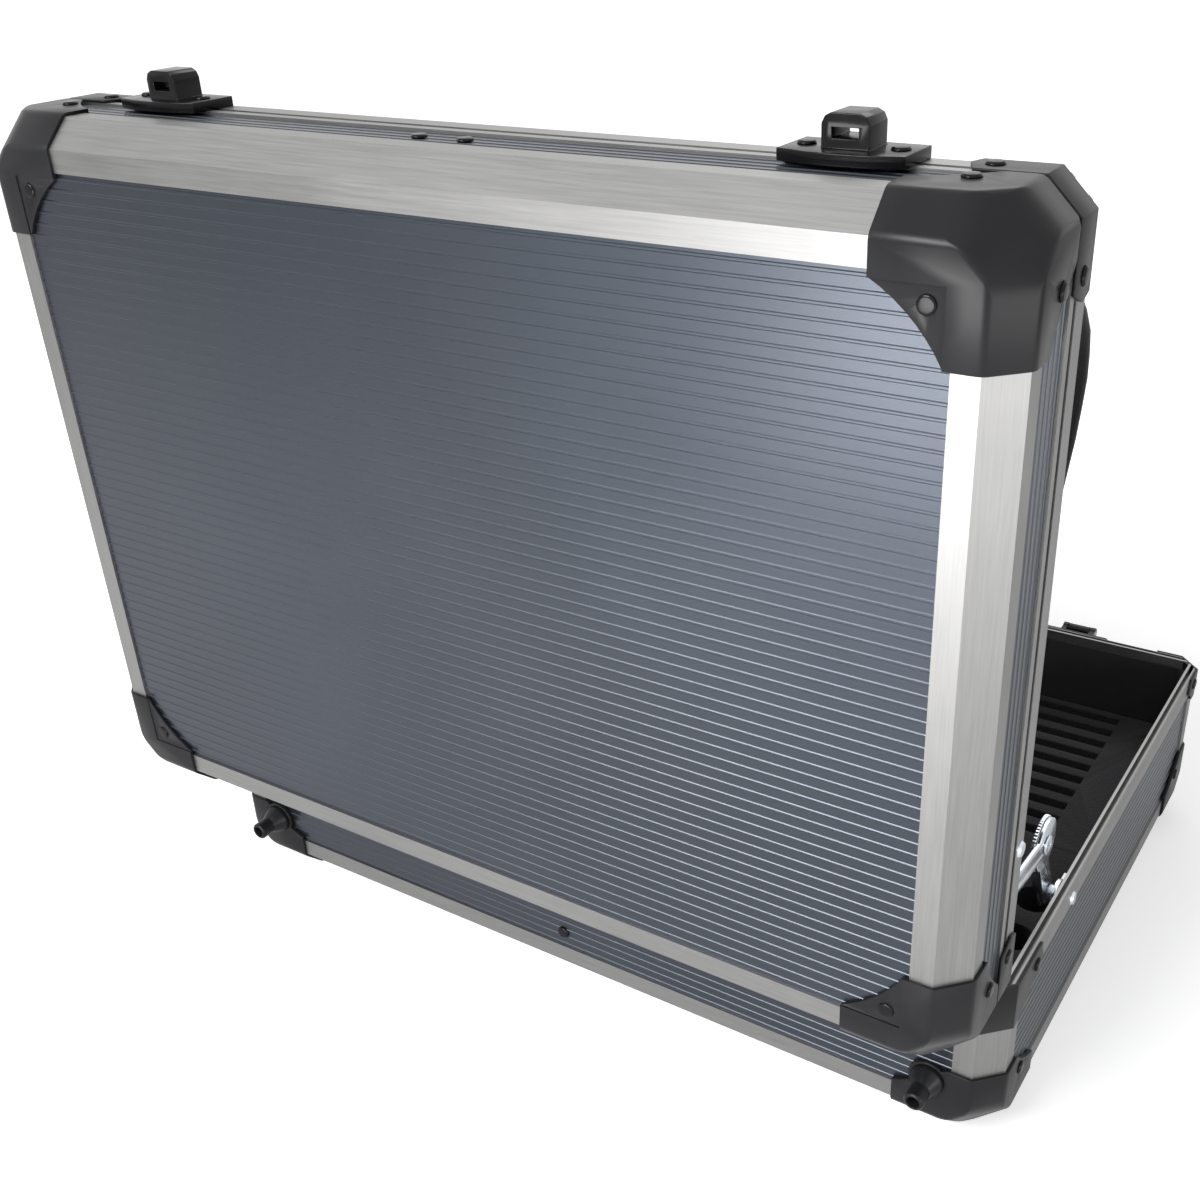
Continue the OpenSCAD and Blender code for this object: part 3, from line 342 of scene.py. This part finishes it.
class Effects:
    """The shader effects that several finishes share."""

    def __init__(self) -> None:
        """Builds each effect once."""
        self.drawn = self._drawn()
        self.smudge = self._smudge()
        self.scuff = self._scuff()
        self.moulded = self._moulded()
        self.cells = self._cells()
        self.weave = self._weave()

    def _drawn(self) -> bpy.types.NodeTree:
        """Makes the fine parallel lines of drawn metal.

        Returns:
            The effect, which puts out Lines.
        """
        group = EffectGroup("drawn_lines", ("Scale",), "Lines")
        noise = group.texture("ShaderNodeTexNoise", Detail=6.0, Roughness=0.65)
        return group.close(noise, "Fac")

    def _smudge(self) -> bpy.types.NodeTree:
        """Makes the wide, soft patches of handling.

        Returns:
            The effect, which puts out a Mask.
        """
        group = EffectGroup("handling_smudge", ("Scale", "Amount"), "Mask")
        noise = group.texture("ShaderNodeTexNoise", Detail=5.0, Roughness=0.55, Distortion=0.6)
        patches = group.above(noise, level=0.42, gain=2.6)
        shown = group.combine("MULTIPLY", patches, 0, group.source, "Amount")
        return group.close(shown, 0)

    def _scuff(self) -> bpy.types.NodeTree:
        """Makes the small dark scuffs, rare and a few millimetres wide.

        Returns:
            The effect, which puts out a Mask.
        """
        group = EffectGroup("handling_scuffs", ("Scale", "Amount"), "Mask")
        noise = group.texture("ShaderNodeTexNoise", Detail=3.0, Roughness=0.55, Distortion=0.8)
        marks = group.above(noise, level=0.67, gain=12.0)
        spread = group.node("ShaderNodeTexNoise", Scale=6.0, Detail=1.0)
        group.link(group.source, "Vector", spread, "Vector")
        areas = group.above(spread, level=0.5, gain=8.0)
        rare = group.combine("MULTIPLY", marks, 0, areas, 0)
        shown = group.combine("MULTIPLY", rare, 0, group.source, "Amount")
        return group.close(shown, 0)

    def _moulded(self) -> bpy.types.NodeTree:
        """Makes the fine spark texture of moulded plastic.

        Returns:
            The effect, which puts out a Height.
        """
        group = EffectGroup("moulded_grain", ("Scale",), "Height")
        noise = group.texture("ShaderNodeTexNoise", Detail=4.0, Roughness=0.7)
        return group.close(noise, "Fac")

    def _cells(self) -> bpy.types.NodeTree:
        """Makes the open cells of cut foam.

        Returns:
            The effect, which puts out a Height.
        """
        group = EffectGroup("foam_cells", ("Scale",), "Height")
        cells = group.texture("ShaderNodeTexVoronoi", Randomness=1.0)
        rounded = group.change("POWER", cells, "Distance", value=0.6)
        return group.close(rounded, 0)

    def _weave(self) -> bpy.types.NodeTree:
        """Makes the crossed threads of lining cloth.

        Returns:
            The effect, which puts out a Height.
        """
        group = EffectGroup("cloth_weave", ("Scale",), "Height")
        warp, weft = (group.texture("ShaderNodeTexWave", bands_direction=way, Distortion=0.6,
                                    Detail=1.0) for way in ("X", "DIAGONAL"))
        higher = group.combine("MAXIMUM", warp, "Fac", weft, "Fac")
        return group.close(higher, 0)


# --------------------------------------------------------------------------- finishes


@dataclass(frozen=True)
class DrawnAluminium:
    """Satin aluminium profile with drawing lines along its length."""

    grain: Grain
    name: str = "drawn_aluminium"
    tones: Tones = Tones((0.250, 0.248, 0.246), (0.310, 0.308, 0.305))
    contrast: tuple[float, float] = (0.3, 0.7)
    smudge: Patches = Patches(scale=14.0, amount=0.5)
    lines: Relief = Relief(scale=1500.0, strength=0.12, height=0.03 * MM)
    smoothest: float = 0.33
    roughest: float = 0.50

    def build(self, effects: Effects) -> bpy.types.Material:
        """Makes the material.

        Args:
            effects: the shared effects.

        Returns:
            The material.
        """
        graph = Graph(f"{self.name}_{self.grain.name.lower()}")
        lines = graph.effect(effects.drawn, self.grain.value, Scale=self.lines.scale)
        smudge = graph.patches(effects.smudge, self.smudge)
        graph.tint(lines, "Lines", *self.contrast, self.tones)
        both = graph.add("ShaderNodeMath", operation="ADD")
        graph.join(lines, "Lines", both, 0)
        graph.join(smudge, "Mask", both, 1)
        graph.roughen(both, 0, self.smoothest, self.roughest)
        graph.bump(lines, "Lines", self.lines)
        graph.constant(Metallic=1.0)
        return graph.material


@dataclass(frozen=True)
class RibbedSheet:
    """Blue-grey anodised sheet, a little clouded and scuffed by handling."""

    name: str = "ribbed_sheet"
    tones: Tones = Tones((0.037, 0.045, 0.060), (0.047, 0.056, 0.072))
    scuffed: Triple = (0.045, 0.049, 0.058)
    smudge: Patches = Patches(scale=7.0, amount=0.7)
    scuff: Patches = Patches(scale=70.0, amount=0.6)
    grain: Relief = Relief(scale=900.0, strength=0.05, height=0.04 * MM)
    smoothest: float = 0.34
    roughest: float = 0.42
    metallic: float = 0.85
    lacquer: float = 0.5
    lacquer_roughness: float = 0.25

    def build(self, effects: Effects) -> bpy.types.Material:
        """Makes the material.

        Args:
            effects: the shared effects.

        Returns:
            The material.
        """
        graph = Graph(self.name)
        smudge = graph.patches(effects.smudge, self.smudge)
        scuff = graph.patches(effects.scuff, self.scuff)
        cloud = graph.ramp(smudge, "Mask", 0.0, 1.0, self.tones)
        mix = graph.add("ShaderNodeMix", data_type="RGBA")
        mix.inputs[MIX_SECOND].default_value = (*self.scuffed, 1.0)
        graph.join(scuff, "Mask", mix, MIX_FACTOR)
        graph.join(cloud, "Color", mix, MIX_FIRST)
        graph.join(mix, MIX_RESULT, graph.shader, "Base Color")
        both = graph.add("ShaderNodeMath", operation="ADD", use_clamp=True)
        graph.join(smudge, "Mask", both, 0)
        graph.join(scuff, "Mask", both, 1)
        graph.roughen(both, 0, self.smoothest, self.roughest)
        grain = graph.effect(effects.moulded, Scale=self.grain.scale)
        graph.bump(grain, "Height", self.grain)
        graph.constant(Metallic=self.metallic, Coat_Weight=self.lacquer,
                       Coat_Roughness=self.lacquer_roughness)
        return graph.material


@dataclass(frozen=True)
class HandledSurface:
    """Plastic, rubber or a black coat, with worn or dusty patches and a fine grain."""

    name: str
    tones: Tones
    smudge: Patches
    grain: Relief
    smoothest: float
    roughest: float
    gloss: float

    def build(self, effects: Effects) -> bpy.types.Material:
        """Makes the material.

        Args:
            effects: the shared effects.

        Returns:
            The material.
        """
        graph = Graph(self.name)
        smudge = graph.patches(effects.smudge, self.smudge)
        graph.tint(smudge, "Mask", 0.0, 1.0, self.tones)
        graph.roughen(smudge, "Mask", self.smoothest, self.roughest)
        grain = graph.effect(effects.moulded, Scale=self.grain.scale)
        graph.bump(grain, "Height", self.grain)
        graph.constant(Specular_IOR_Level=self.gloss)
        return graph.material


@dataclass(frozen=True)
class BlackMoulding(HandledSurface):
    """Satin black moulded plastic, dusty grey on worn high spots."""

    name: str = "black_moulding"
    tones: Tones = Tones((0.010, 0.0102, 0.0115), (0.020, 0.0205, 0.0225))
    smudge: Patches = Patches(scale=22.0, amount=0.8)
    grain: Relief = Relief(scale=1500.0, strength=0.12, height=0.08 * MM)
    smoothest: float = 0.30
    roughest: float = 0.42
    gloss: float = 0.22


@dataclass(frozen=True)
class SealRubber(BlackMoulding):
    """Dull black rubber of the lid's seal."""

    name: str = "seal_rubber"
    tones: Tones = Tones((0.004, 0.004, 0.004), (0.012, 0.012, 0.012))
    smoothest: float = 0.60
    roughest: float = 0.72


@dataclass(frozen=True)
class BlackEnamel(HandledSurface):
    """Glossy black coat on rivets and pressed latch steel."""

    name: str = "black_enamel"
    tones: Tones = Tones((0.005, 0.005, 0.006), (0.011, 0.011, 0.012))
    smudge: Patches = Patches(scale=60.0, amount=0.6)
    grain: Relief = Relief(scale=700.0, strength=0.05, height=0.05 * MM)
    smoothest: float = 0.18
    roughest: float = 0.32
    gloss: float = 0.2


@dataclass(frozen=True)
class CutFoam:
    """Dark open-cell foam with cut faces, with painted shade in its cell pits."""

    name: str = "cut_foam"
    # The darker tone is painted shade in the cell pits; the lighter tone is the cell walls.
    tones: Tones = Tones((0.014, 0.014, 0.016), (0.042, 0.042, 0.046))
    contrast: tuple[float, float] = (0.15, 0.75)
    cells: Relief = Relief(scale=650.0, strength=0.5, height=0.5 * MM)
    smoothest: float = 0.85
    roughest: float = 1.0
    sheen: float = 0.15

    def build(self, effects: Effects) -> bpy.types.Material:
        """Makes the material.

        Args:
            effects: the shared effects.

        Returns:
            The material.
        """
        graph = Graph(self.name)
        cells = graph.effect(effects.cells, Scale=self.cells.scale)
        # Tinting by cell height paints shade into the pits, darker where the bump sinks.
        graph.tint(cells, "Height", *self.contrast, self.tones)
        graph.roughen(cells, "Height", self.smoothest, self.roughest)
        graph.bump(cells, "Height", self.cells)
        graph.constant(Sheen_Weight=self.sheen)
        return graph.material


@dataclass(frozen=True)
class LiningCloth:
    """Thin black cloth on board, with painted shade between its threads."""

    name: str = "lining_cloth"
    # The darker tone is painted shade in the gaps between the threads.
    tones: Tones = Tones((0.006, 0.006, 0.007), (0.024, 0.024, 0.026))
    contrast: tuple[float, float] = (0.1, 0.9)
    weave: Relief = Relief(scale=480.0, strength=0.4, height=0.2 * MM)
    smoothest: float = 0.75
    roughest: float = 0.95
    sheen: float = 0.3

    def build(self, effects: Effects) -> bpy.types.Material:
        """Makes the material.

        Args:
            effects: the shared effects.

        Returns:
            The material.
        """
        graph = Graph(self.name)
        weave = graph.effect(effects.weave, Scale=self.weave.scale)
        # Tinting by weave height paints shade between the threads, where the bump sinks.
        graph.tint(weave, "Height", *self.contrast, self.tones)
        graph.roughen(weave, "Height", self.smoothest, self.roughest)
        graph.bump(weave, "Height", self.weave)
        graph.constant(Sheen_Weight=self.sheen)
        return graph.material


@dataclass(frozen=True)
class BrightZinc:
    """Bright zinc-plated steel with a faint cloud."""

    name: str = "bright_zinc"
    tones: Tones = Tones((0.80, 0.84, 0.88), (0.56, 0.60, 0.66))
    cloud: Patches = Patches(scale=60.0, amount=0.9)
    smoothest: float = 0.20
    roughest: float = 0.36

    def build(self, effects: Effects) -> bpy.types.Material:
        """Makes the material.

        Args:
            effects: the shared effects.

        Returns:
            The material.
        """
        graph = Graph(self.name)
        cloud = graph.patches(effects.smudge, self.cloud)
        graph.tint(cloud, "Mask", 0.0, 1.0, self.tones)
        graph.roughen(cloud, "Mask", self.smoothest, self.roughest)
        graph.constant(Metallic=1.0)
        return graph.material


class Finishes:
    """Every finish of the case, made once."""

    def __init__(self) -> None:
        """Builds the materials."""
        effects = Effects()
        self.effects = effects
        self.bar_across = DrawnAluminium(Grain.ACROSS).build(effects)
        self.bar_deep = DrawnAluminium(Grain.DEEP).build(effects)
        self.bar_upright = DrawnAluminium(Grain.UPRIGHT).build(effects)
        self.sheet = RibbedSheet().build(effects)
        self.moulding = BlackMoulding().build(effects)
        self.rubber = SealRubber().build(effects)
        self.enamel = BlackEnamel().build(effects)
        self.foam = CutFoam().build(effects)
        self.cloth = LiningCloth().build(effects)
        self.zinc = BrightZinc().build(effects)


# --------------------------------------------------------------------------- modelling helpers


@dataclass(frozen=True)
class Rounding:
    """How a piece's edges are rounded.

    Edges whose faces turn by more than the angle, in degrees, get the width. Where a blend is
    given, blunter outer edges get that wider round first.
    """

    width: float
    steps: int = 2
    angle: float = 25.0
    blend: float = 0.0


class Maker:
    """Mesh work that several sub-assemblies share."""

    MERGE_GAP = 0.01 * MM
    FLAT_ANGLE = 1.0
    STEEP_ANGLE = 58.0
    BLEND_STEPS = 4
    FULL_BLEND_ANGLE = 40.0
    SMALL_BLEND_SHARE = 0.35
    SHADING_ANGLE = 40.0

    @staticmethod
    def clear_selection() -> None:
        """Deselects every object."""
        for item in bpy.context.view_layer.objects:
            item.select_set(False)

    @staticmethod
    def pick(item: bpy.types.Object) -> None:
        """Selects one object and makes it active.

        Args:
            item: the object.
        """
        Maker.clear_selection()
        item.select_set(True)
        bpy.context.view_layer.objects.active = item

    @staticmethod
    def apply(item: bpy.types.Object) -> None:
        """Applies every modifier of an object in order.

        Args:
            item: the object.
        """
        Maker.pick(item)
        for modifier in list(item.modifiers):
            bpy.ops.object.modifier_apply(modifier=modifier.name)

    @staticmethod
    def dress(item: bpy.types.Object, material: bpy.types.Material) -> None:
        """Gives an object one material."""
        item.data.materials.clear()
        item.data.materials.append(material)

    @staticmethod
    def dress_nodes(names: tuple[str, ...], material: bpy.types.Material) -> None:
        """Gives CAD nodes a material through their own slots.

        Args:
            names: the CAD nodes.
            material: their finish.
        """
        for name in names:
            for slot in frame["nodes"][name].material_slots:
                slot.material = material
            log.info("dressed %s with %s", name, material.name)

    @staticmethod
    def merged_copy(node: str) -> bpy.types.Object:
        """Copies a CAD node and joins its loose triangles into whole faces.

        Args:
            node: the CAD node.

        Returns:
            The copy.
        """
        piece = bpy.data.objects.new(f"{node}_finished", frame["nodes"][node].data.copy())
        bpy.context.scene.collection.objects.link(piece)
        Maker.pick(piece)
        bpy.ops.object.mode_set(mode="EDIT")
        bpy.ops.mesh.select_all(action="SELECT")
        bpy.ops.mesh.remove_doubles(threshold=Maker.MERGE_GAP)
        bpy.ops.mesh.dissolve_limited(angle_limit=math.radians(Maker.FLAT_ANGLE))
        bpy.ops.object.mode_set(mode="OBJECT")
        return piece

    @staticmethod
    def blunt_edges(piece: bpy.types.Object, low: float, high: float) -> list[tuple[int, float]]:
        """Finds the convex edges whose faces turn by an angle between low and high.

        Args:
            piece: the piece, already merged.
            low: the smallest turn, in degrees.
            high: the largest turn, in degrees.

        Returns:
            Each edge's index and its turn in degrees.
        """
        mesh = piece.data
        sides: dict[tuple[int, int], list[bpy.types.MeshPolygon]] = {}
        for face in mesh.polygons:
            for key in face.edge_keys:
                sides.setdefault(key, []).append(face)
        found = []
        for edge in mesh.edges:
            faces = sides.get(edge.key, [])
            if len(faces) != 2:
                continue
            one, two = faces
            turn = math.degrees(one.normal.angle(two.normal, 0.0))
            rises = (two.center - one.center).dot(one.normal) < 0.0
            if low < turn < high and rises:
                found.append((edge.index, turn))
        return found

    @staticmethod
    def round_blunt(piece: bpy.types.Object, width: float, low: float, high: float) -> None:
        """Gives the blunt convex edges of a shell their own wide blend.

        Args:
            piece: the piece, already merged.
            width: the blend's width in metres.
            low: the smallest turn between an edge's faces, in degrees.
            high: the largest turn, in degrees.
        """
        weights = piece.data.attributes.new("bevel_weight_edge", "FLOAT", "EDGE")
        for index, turn in Maker.blunt_edges(piece, low, high):
            full = turn < Maker.FULL_BLEND_ANGLE
            weights.data[index].value = 1.0 if full else Maker.SMALL_BLEND_SHARE
        blend = piece.modifiers.new("blend", "BEVEL")
        blend.width = width
        blend.segments = Maker.BLEND_STEPS
        blend.limit_method = "WEIGHT"
        Maker.apply(piece)
        piece.data.attributes.remove(piece.data.attributes["bevel_weight_edge"])

    @staticmethod
    def softened(node: str, body: str, rounding: Rounding, material: bpy.types.Material,
                 slot: str) -> bpy.types.Object:
        """Makes a merged copy of a CAD node with its edges rounded, standing for it.

        Args:
            node: the CAD node.
            body: the body that it rides on.
            rounding: how its edges are rounded.
            material: its finish.
            slot: the record's material slot; not used.

        Returns:
            The new piece.
        """
        piece = Maker.merged_copy(node)
        angle = rounding.angle
        if rounding.blend:
            Maker.round_blunt(piece, rounding.blend, angle, Maker.STEEP_ANGLE)
            angle = Maker.STEEP_ANGLE
        bevel = piece.modifiers.new("rounding", "BEVEL")
        bevel.width = rounding.width
        bevel.segments = rounding.steps
        bevel.limit_method = "ANGLE"
        bevel.angle_limit = math.radians(angle)
        bevel.harden_normals = False
        Maker.apply(piece)
        bpy.ops.object.shade_smooth_by_angle(angle=math.radians(Maker.SHADING_ANGLE))
        Maker.dress(piece, material)
        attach(piece, body)
        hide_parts(node)
        log.info("built %s", piece.name)
        return piece


# --------------------------------------------------------------------------- sub-assemblies


@dataclass
class Shell:
    """Panels, profiles, rims and corner pieces of the base and of the lid."""

    finishes: Finishes
    cap: Rounding = Rounding(0.45 * MM, blend=5.5 * MM)
    plate: Rounding = Rounding(0.4 * MM)
    seat: Rounding = Rounding(0.2 * MM)
    rivet: Rounding = Rounding(0.75 * MM, steps=4)
    lining: Rounding = Rounding(0.5 * MM)
    across: tuple[str, ...] = (
        "base_edge_rails_long", "base_rim_long", "lid_edge_rails_long", "lid_rim_long",
        "hinge_base_leaf", "hinge_lid_leaf", "hinge_pin")
    deep: tuple[str, ...] = (
        "base_edge_rails_short", "base_rim_short", "lid_edge_rails_short", "lid_rim_short")
    upright: tuple[str, ...] = ("base_corner_posts", "lid_corner_posts")
    sheets: tuple[str, ...] = (
        "base_bottom_panel", "base_front_panel", "base_rear_panel", "base_side_panels",
        "lid_top_panel", "lid_front_panel", "lid_rear_panel", "lid_side_panels")

    def build(self) -> None:
        """Dresses the shells and rounds the moulded corners."""
        finishes = self.finishes
        Maker.dress_nodes(self.across, finishes.bar_across)
        Maker.dress_nodes(self.deep, finishes.bar_deep)
        Maker.dress_nodes(self.upright, finishes.bar_upright)
        Maker.dress_nodes(self.sheets, finishes.sheet)
        Maker.dress_nodes(("lid_seal",), finishes.rubber)
        Maker.dress_nodes(("stay_base_rivets", "stay_lid_rivets"), finishes.zinc)
        for node, body, rounding in (
                ("base_front_caps", "base", self.cap),
                ("base_rear_caps", "base", self.cap),
                ("lid_corner_caps", "lid", self.cap),
                ("base_rim_corners", "base", self.seat),
                ("lid_rim_corners", "lid", self.plate),
                ("rear_feet", "base", self.plate)):
            Maker.softened(node, body, rounding, finishes.moulding, "black_plastic")
        for body in ("base", "lid"):
            Maker.softened(f"{body}_rivets", body, self.rivet, finishes.enamel, "black_plastic")
            Maker.softened(f"{body}_lining", body, self.lining, finishes.cloth, "lining_fabric")


@dataclass
class FoamInsert:
    """The solid layer, the slotted block and the block with round recesses."""

    finishes: Finishes
    cut: Rounding = Rounding(0.7 * MM, angle=50.0)

    def build(self) -> None:
        """Rounds the cut edges and dresses the foam."""
        for node in ("foam_floor", "foam_slots", "foam_tray"):
            Maker.softened(node, "base", self.cut, self.finishes.foam, "foam")


@dataclass
class Fittings:
    """Latches, hasps, handle and stays."""

    finishes: Finishes
    pressed: Rounding = Rounding(0.35 * MM)
    moulded: Rounding = Rounding(0.35 * MM, steps=3)
    tower: Rounding = Rounding(0.8 * MM, steps=3)
    thin: Rounding = Rounding(0.2 * MM)

    def latches(self) -> None:
        """Rounds and dresses the latch plates, hasp towers, flaps and slide bolts."""
        enamel, moulding = self.finishes.enamel, self.finishes.moulding
        Maker.softened("latch_plates", "base", self.moulded, enamel, "black_steel")
        Maker.softened("hasp_towers", "lid", self.tower, enamel, "black_plastic")
        for side in Side:
            flap, bolt = f"latch_flap_{side.value}", f"latch_slide_{side.value}"
            Maker.softened(flap, flap, self.pressed, enamel, "black_steel")
            Maker.softened(bolt, bolt, self.thin, moulding, "black_plastic")
        Maker.dress_nodes(("latch_pins",), self.finishes.zinc)

    def handle(self) -> None:
        """Rounds and dresses the handle with its brackets and pins."""
        zinc, moulding = self.finishes.zinc, self.finishes.moulding
        Maker.softened("handle_brackets", "base", self.moulded, self.finishes.enamel,
                       "black_plastic")
        Maker.softened("handle_grip", "handle", self.moulded, moulding, "grip_plastic")
        Maker.softened("handle_bail", "handle", self.pressed, zinc, "zinc_steel")
        Maker.dress_nodes(("handle_pins",), zinc)

    def stays(self) -> None:
        """Rounds and dresses the folding stays and their brackets."""
        zinc = self.finishes.zinc
        for body in ("base", "lid"):
            Maker.softened(f"stay_{body}_brackets", body, self.thin, zinc, "zinc_steel")
        for side in Side:
            lower, upper = f"stay_lower_{side.value}", f"stay_upper_{side.value}"
            for node, body in ((f"stay_lower_arm_{side.value}", lower),
                               (f"stay_upper_arm_{side.value}", upper),
                               (f"stay_knuckle_{side.value}", lower)):
                Maker.softened(node, body, self.thin, zinc, "zinc_steel")

    def build(self) -> None:
        """Builds the fittings in order."""
        self.latches()
        self.handle()
        self.stays()


@dataclass
class LidPocket:
    """The bowed document pocket that stands out of the lid."""

    finishes: Finishes
    edge: Rounding = Rounding(1.2 * MM, steps=3)

    def build(self) -> None:
        """Rounds and dresses the pocket."""
        Maker.softened("lid_pocket", "lid", self.edge, self.finishes.cloth, "lining_fabric")


@dataclass(frozen=True)
class Softbox:
    """One soft rectangular lamp.

    It stands at its place and faces the aim. Its size is width and height in metres, and its
    power is in watts.
    """

    name: str
    place: Triple
    aim: Triple
    size: tuple[float, float]
    power: float

    def build(self) -> None:
        """Adds the lamp."""
        data = bpy.data.lights.new(self.name, "AREA")
        data.shape = "RECTANGLE"
        data.size, data.size_y = self.size
        data.energy = self.power
        item = bpy.data.objects.new(self.name, data)
        bpy.context.scene.collection.objects.link(item)
        item.location = self.place
        facing = Vector(self.aim) - Vector(self.place)
        item.rotation_euler = facing.to_track_quat("-Z", "Y").to_euler()


@dataclass
class Studio:
    """Camera, lamps, world and floor."""

    effects: Effects
    eye: Triple = (-0.34616, 0.57827, 0.49645)
    forward: Triple = (0.46925, -0.74350, -0.47646)
    right: Triple = (-0.85193, -0.52316, -0.02266)
    down: Triple = (-0.23241, 0.41655, -0.87890)
    lens: float = 42.14
    sensor: float = 36.0
    shift: tuple[float, float] = (-0.0596, 0.0358)
    nearest: float = 0.02
    world_strength: float = 0.10
    floor_size: float = 40.0
    floor_gap: float = 0.2 * MM
    floor_tones: Tones = Tones((0.80, 0.80, 0.80), (0.82, 0.82, 0.82))
    floor_smudge: Patches = Patches(scale=1.0, amount=0.2)
    floor_roughness: float = 0.9
    # The glow dims towards the case: painted shade round it, seen by the camera and in metal's
    # reflections.
    glow_tones: Tones = Tones((0.58, 0.58, 0.58), WHITE)
    glow_reach: tuple[float, float] = (0.26, 0.80)
    mirrored_glow: float = 0.4
    lamps: tuple[Softbox, ...] = (
        Softbox("softbox_behind", (-0.05, 1.10, 0.16), (-0.15, 0.2, 0.30), (0.60, 0.30), 6.9),
        Softbox("softbox_side", (-1.00, 0.42, 0.20), (-0.2, 0.2, 0.22), (0.7, 0.38), 2.9),
        Softbox("softbox_high", (0.35, 1.45, 1.25), (-0.15, 0.2, 0.15), (0.85, 0.5), 24.0),
        Softbox("softbox_front", (0.3, -1.35, 1.75), (0.0, -0.2, 0.1), (1.2, 0.8), 8.0),
        Softbox("overhead", (-0.1, -0.1, 2.1), (0.0, -0.1, 0.2), (1.8, 1.6), 3.0))

    def camera(self) -> None:
        """Sets the camera at the photograph's viewpoint."""
        data = bpy.data.cameras.new("photo_view")
        data.lens = self.lens
        data.sensor_width = self.sensor
        data.shift_x, data.shift_y = self.shift
        data.clip_start = self.nearest
        item = bpy.data.objects.new("photo_view", data)
        bpy.context.scene.collection.objects.link(item)
        axes = Vector(self.right), -Vector(self.down), -Vector(self.forward)
        item.matrix_world = Matrix.Translation(self.eye) @ Matrix(axes).transposed().to_4x4()
        bpy.context.scene.camera = item

    def world(self) -> None:
        """Makes a world that is white to the camera and to metal, and a soft light to the rest."""
        world = bpy.data.worlds.new("studio_white")
        world.use_nodes = True
        tree = world.node_tree
        tree.nodes.clear()
        add, join = tree.nodes.new, tree.links.new
        output = add("ShaderNodeOutputWorld")
        seen = add("ShaderNodeMixShader")
        soft, white = add("ShaderNodeBackground"), add("ShaderNodeBackground")
        path = add("ShaderNodeLightPath")
        plain = add("ShaderNodeMath")
        plain.operation = "MAXIMUM"
        soft.inputs["Strength"].default_value = self.world_strength
        for light in (soft, white):
            light.inputs["Color"].default_value = (*WHITE, 1.0)
        join(path.outputs["Is Camera Ray"], plain.inputs[0])
        join(path.outputs["Is Glossy Ray"], plain.inputs[1])
        join(plain.outputs[0], seen.inputs[0])
        join(soft.outputs[0], seen.inputs[1])
        join(white.outputs[0], seen.inputs[2])
        join(seen.outputs[0], output.inputs["Surface"])
        bpy.context.scene.world = world

    def floor_paint(self) -> bpy.types.Material:
        """Makes pale paint that shows white to the camera away from the case, with painted shade
        nearer it.

        Metal sees a share of that white and of the painted shade, and light that falls on the case
        sees none of it.

        Returns:
            The material.
        """
        graph = Graph("floor_paint")
        smudge = graph.patches(self.effects.smudge, self.floor_smudge)
        graph.tint(smudge, "Mask", 0.0, 1.0, self.floor_tones)
        distance = graph.add("ShaderNodeVectorMath", operation="LENGTH")
        graph.join(graph.place, "Object", distance, 0)
        # Glow by distance from the case: dimmer near it, a painted shade round the case.
        glow = graph.ramp(distance, "Value", *self.glow_reach, self.glow_tones)
        glow.color_ramp.interpolation = "EASE"
        path = graph.add("ShaderNodeLightPath")
        mirrored = graph.add("ShaderNodeMath", operation="MULTIPLY")
        mirrored.inputs[1].default_value = self.mirrored_glow
        graph.join(path, "Is Glossy Ray", mirrored, 0)
        plain = graph.add("ShaderNodeMath", operation="MAXIMUM")
        graph.join(path, "Is Camera Ray", plain, 0)
        graph.join(mirrored, 0, plain, 1)
        shown = graph.add("ShaderNodeMix", data_type="RGBA")
        shown.inputs[MIX_FIRST].default_value = (*BLACK, 1.0)
        graph.join(plain, 0, shown, MIX_FACTOR)
        graph.join(glow, "Color", shown, MIX_SECOND)
        graph.join(shown, MIX_RESULT, graph.shader, "Emission Color")
        graph.constant(Roughness=self.floor_roughness, Emission_Strength=1.0)
        return graph.material

    def floor(self) -> None:
        """Lays the plain pale floor, which takes the case's soft shadow and shows painted shade
        round the case.
        """
        Maker.clear_selection()
        bpy.ops.mesh.primitive_plane_add(size=self.floor_size, location=(0, 0, -self.floor_gap))
        item = bpy.context.active_object
        item.name = "studio_floor"
        Maker.dress(item, self.floor_paint())

    def build(self) -> None:
        """Sets up the whole studio."""
        self.camera()
        self.world()
        self.floor()
        for lamp in self.lamps:
            lamp.build()
        bpy.context.scene.view_settings.view_transform = "Standard"
        log.info("studio ready")


def main() -> None:
    """Builds the case's looks, then the studio."""
    logging.basicConfig(level=logging.INFO)
    finishes = Finishes()
    Shell(finishes).build()
    FoamInsert(finishes).build()
    Fittings(finishes).build()
    LidPocket(finishes).build()
    Studio(finishes.effects).build()


if __name__ == "__main__":
    main()
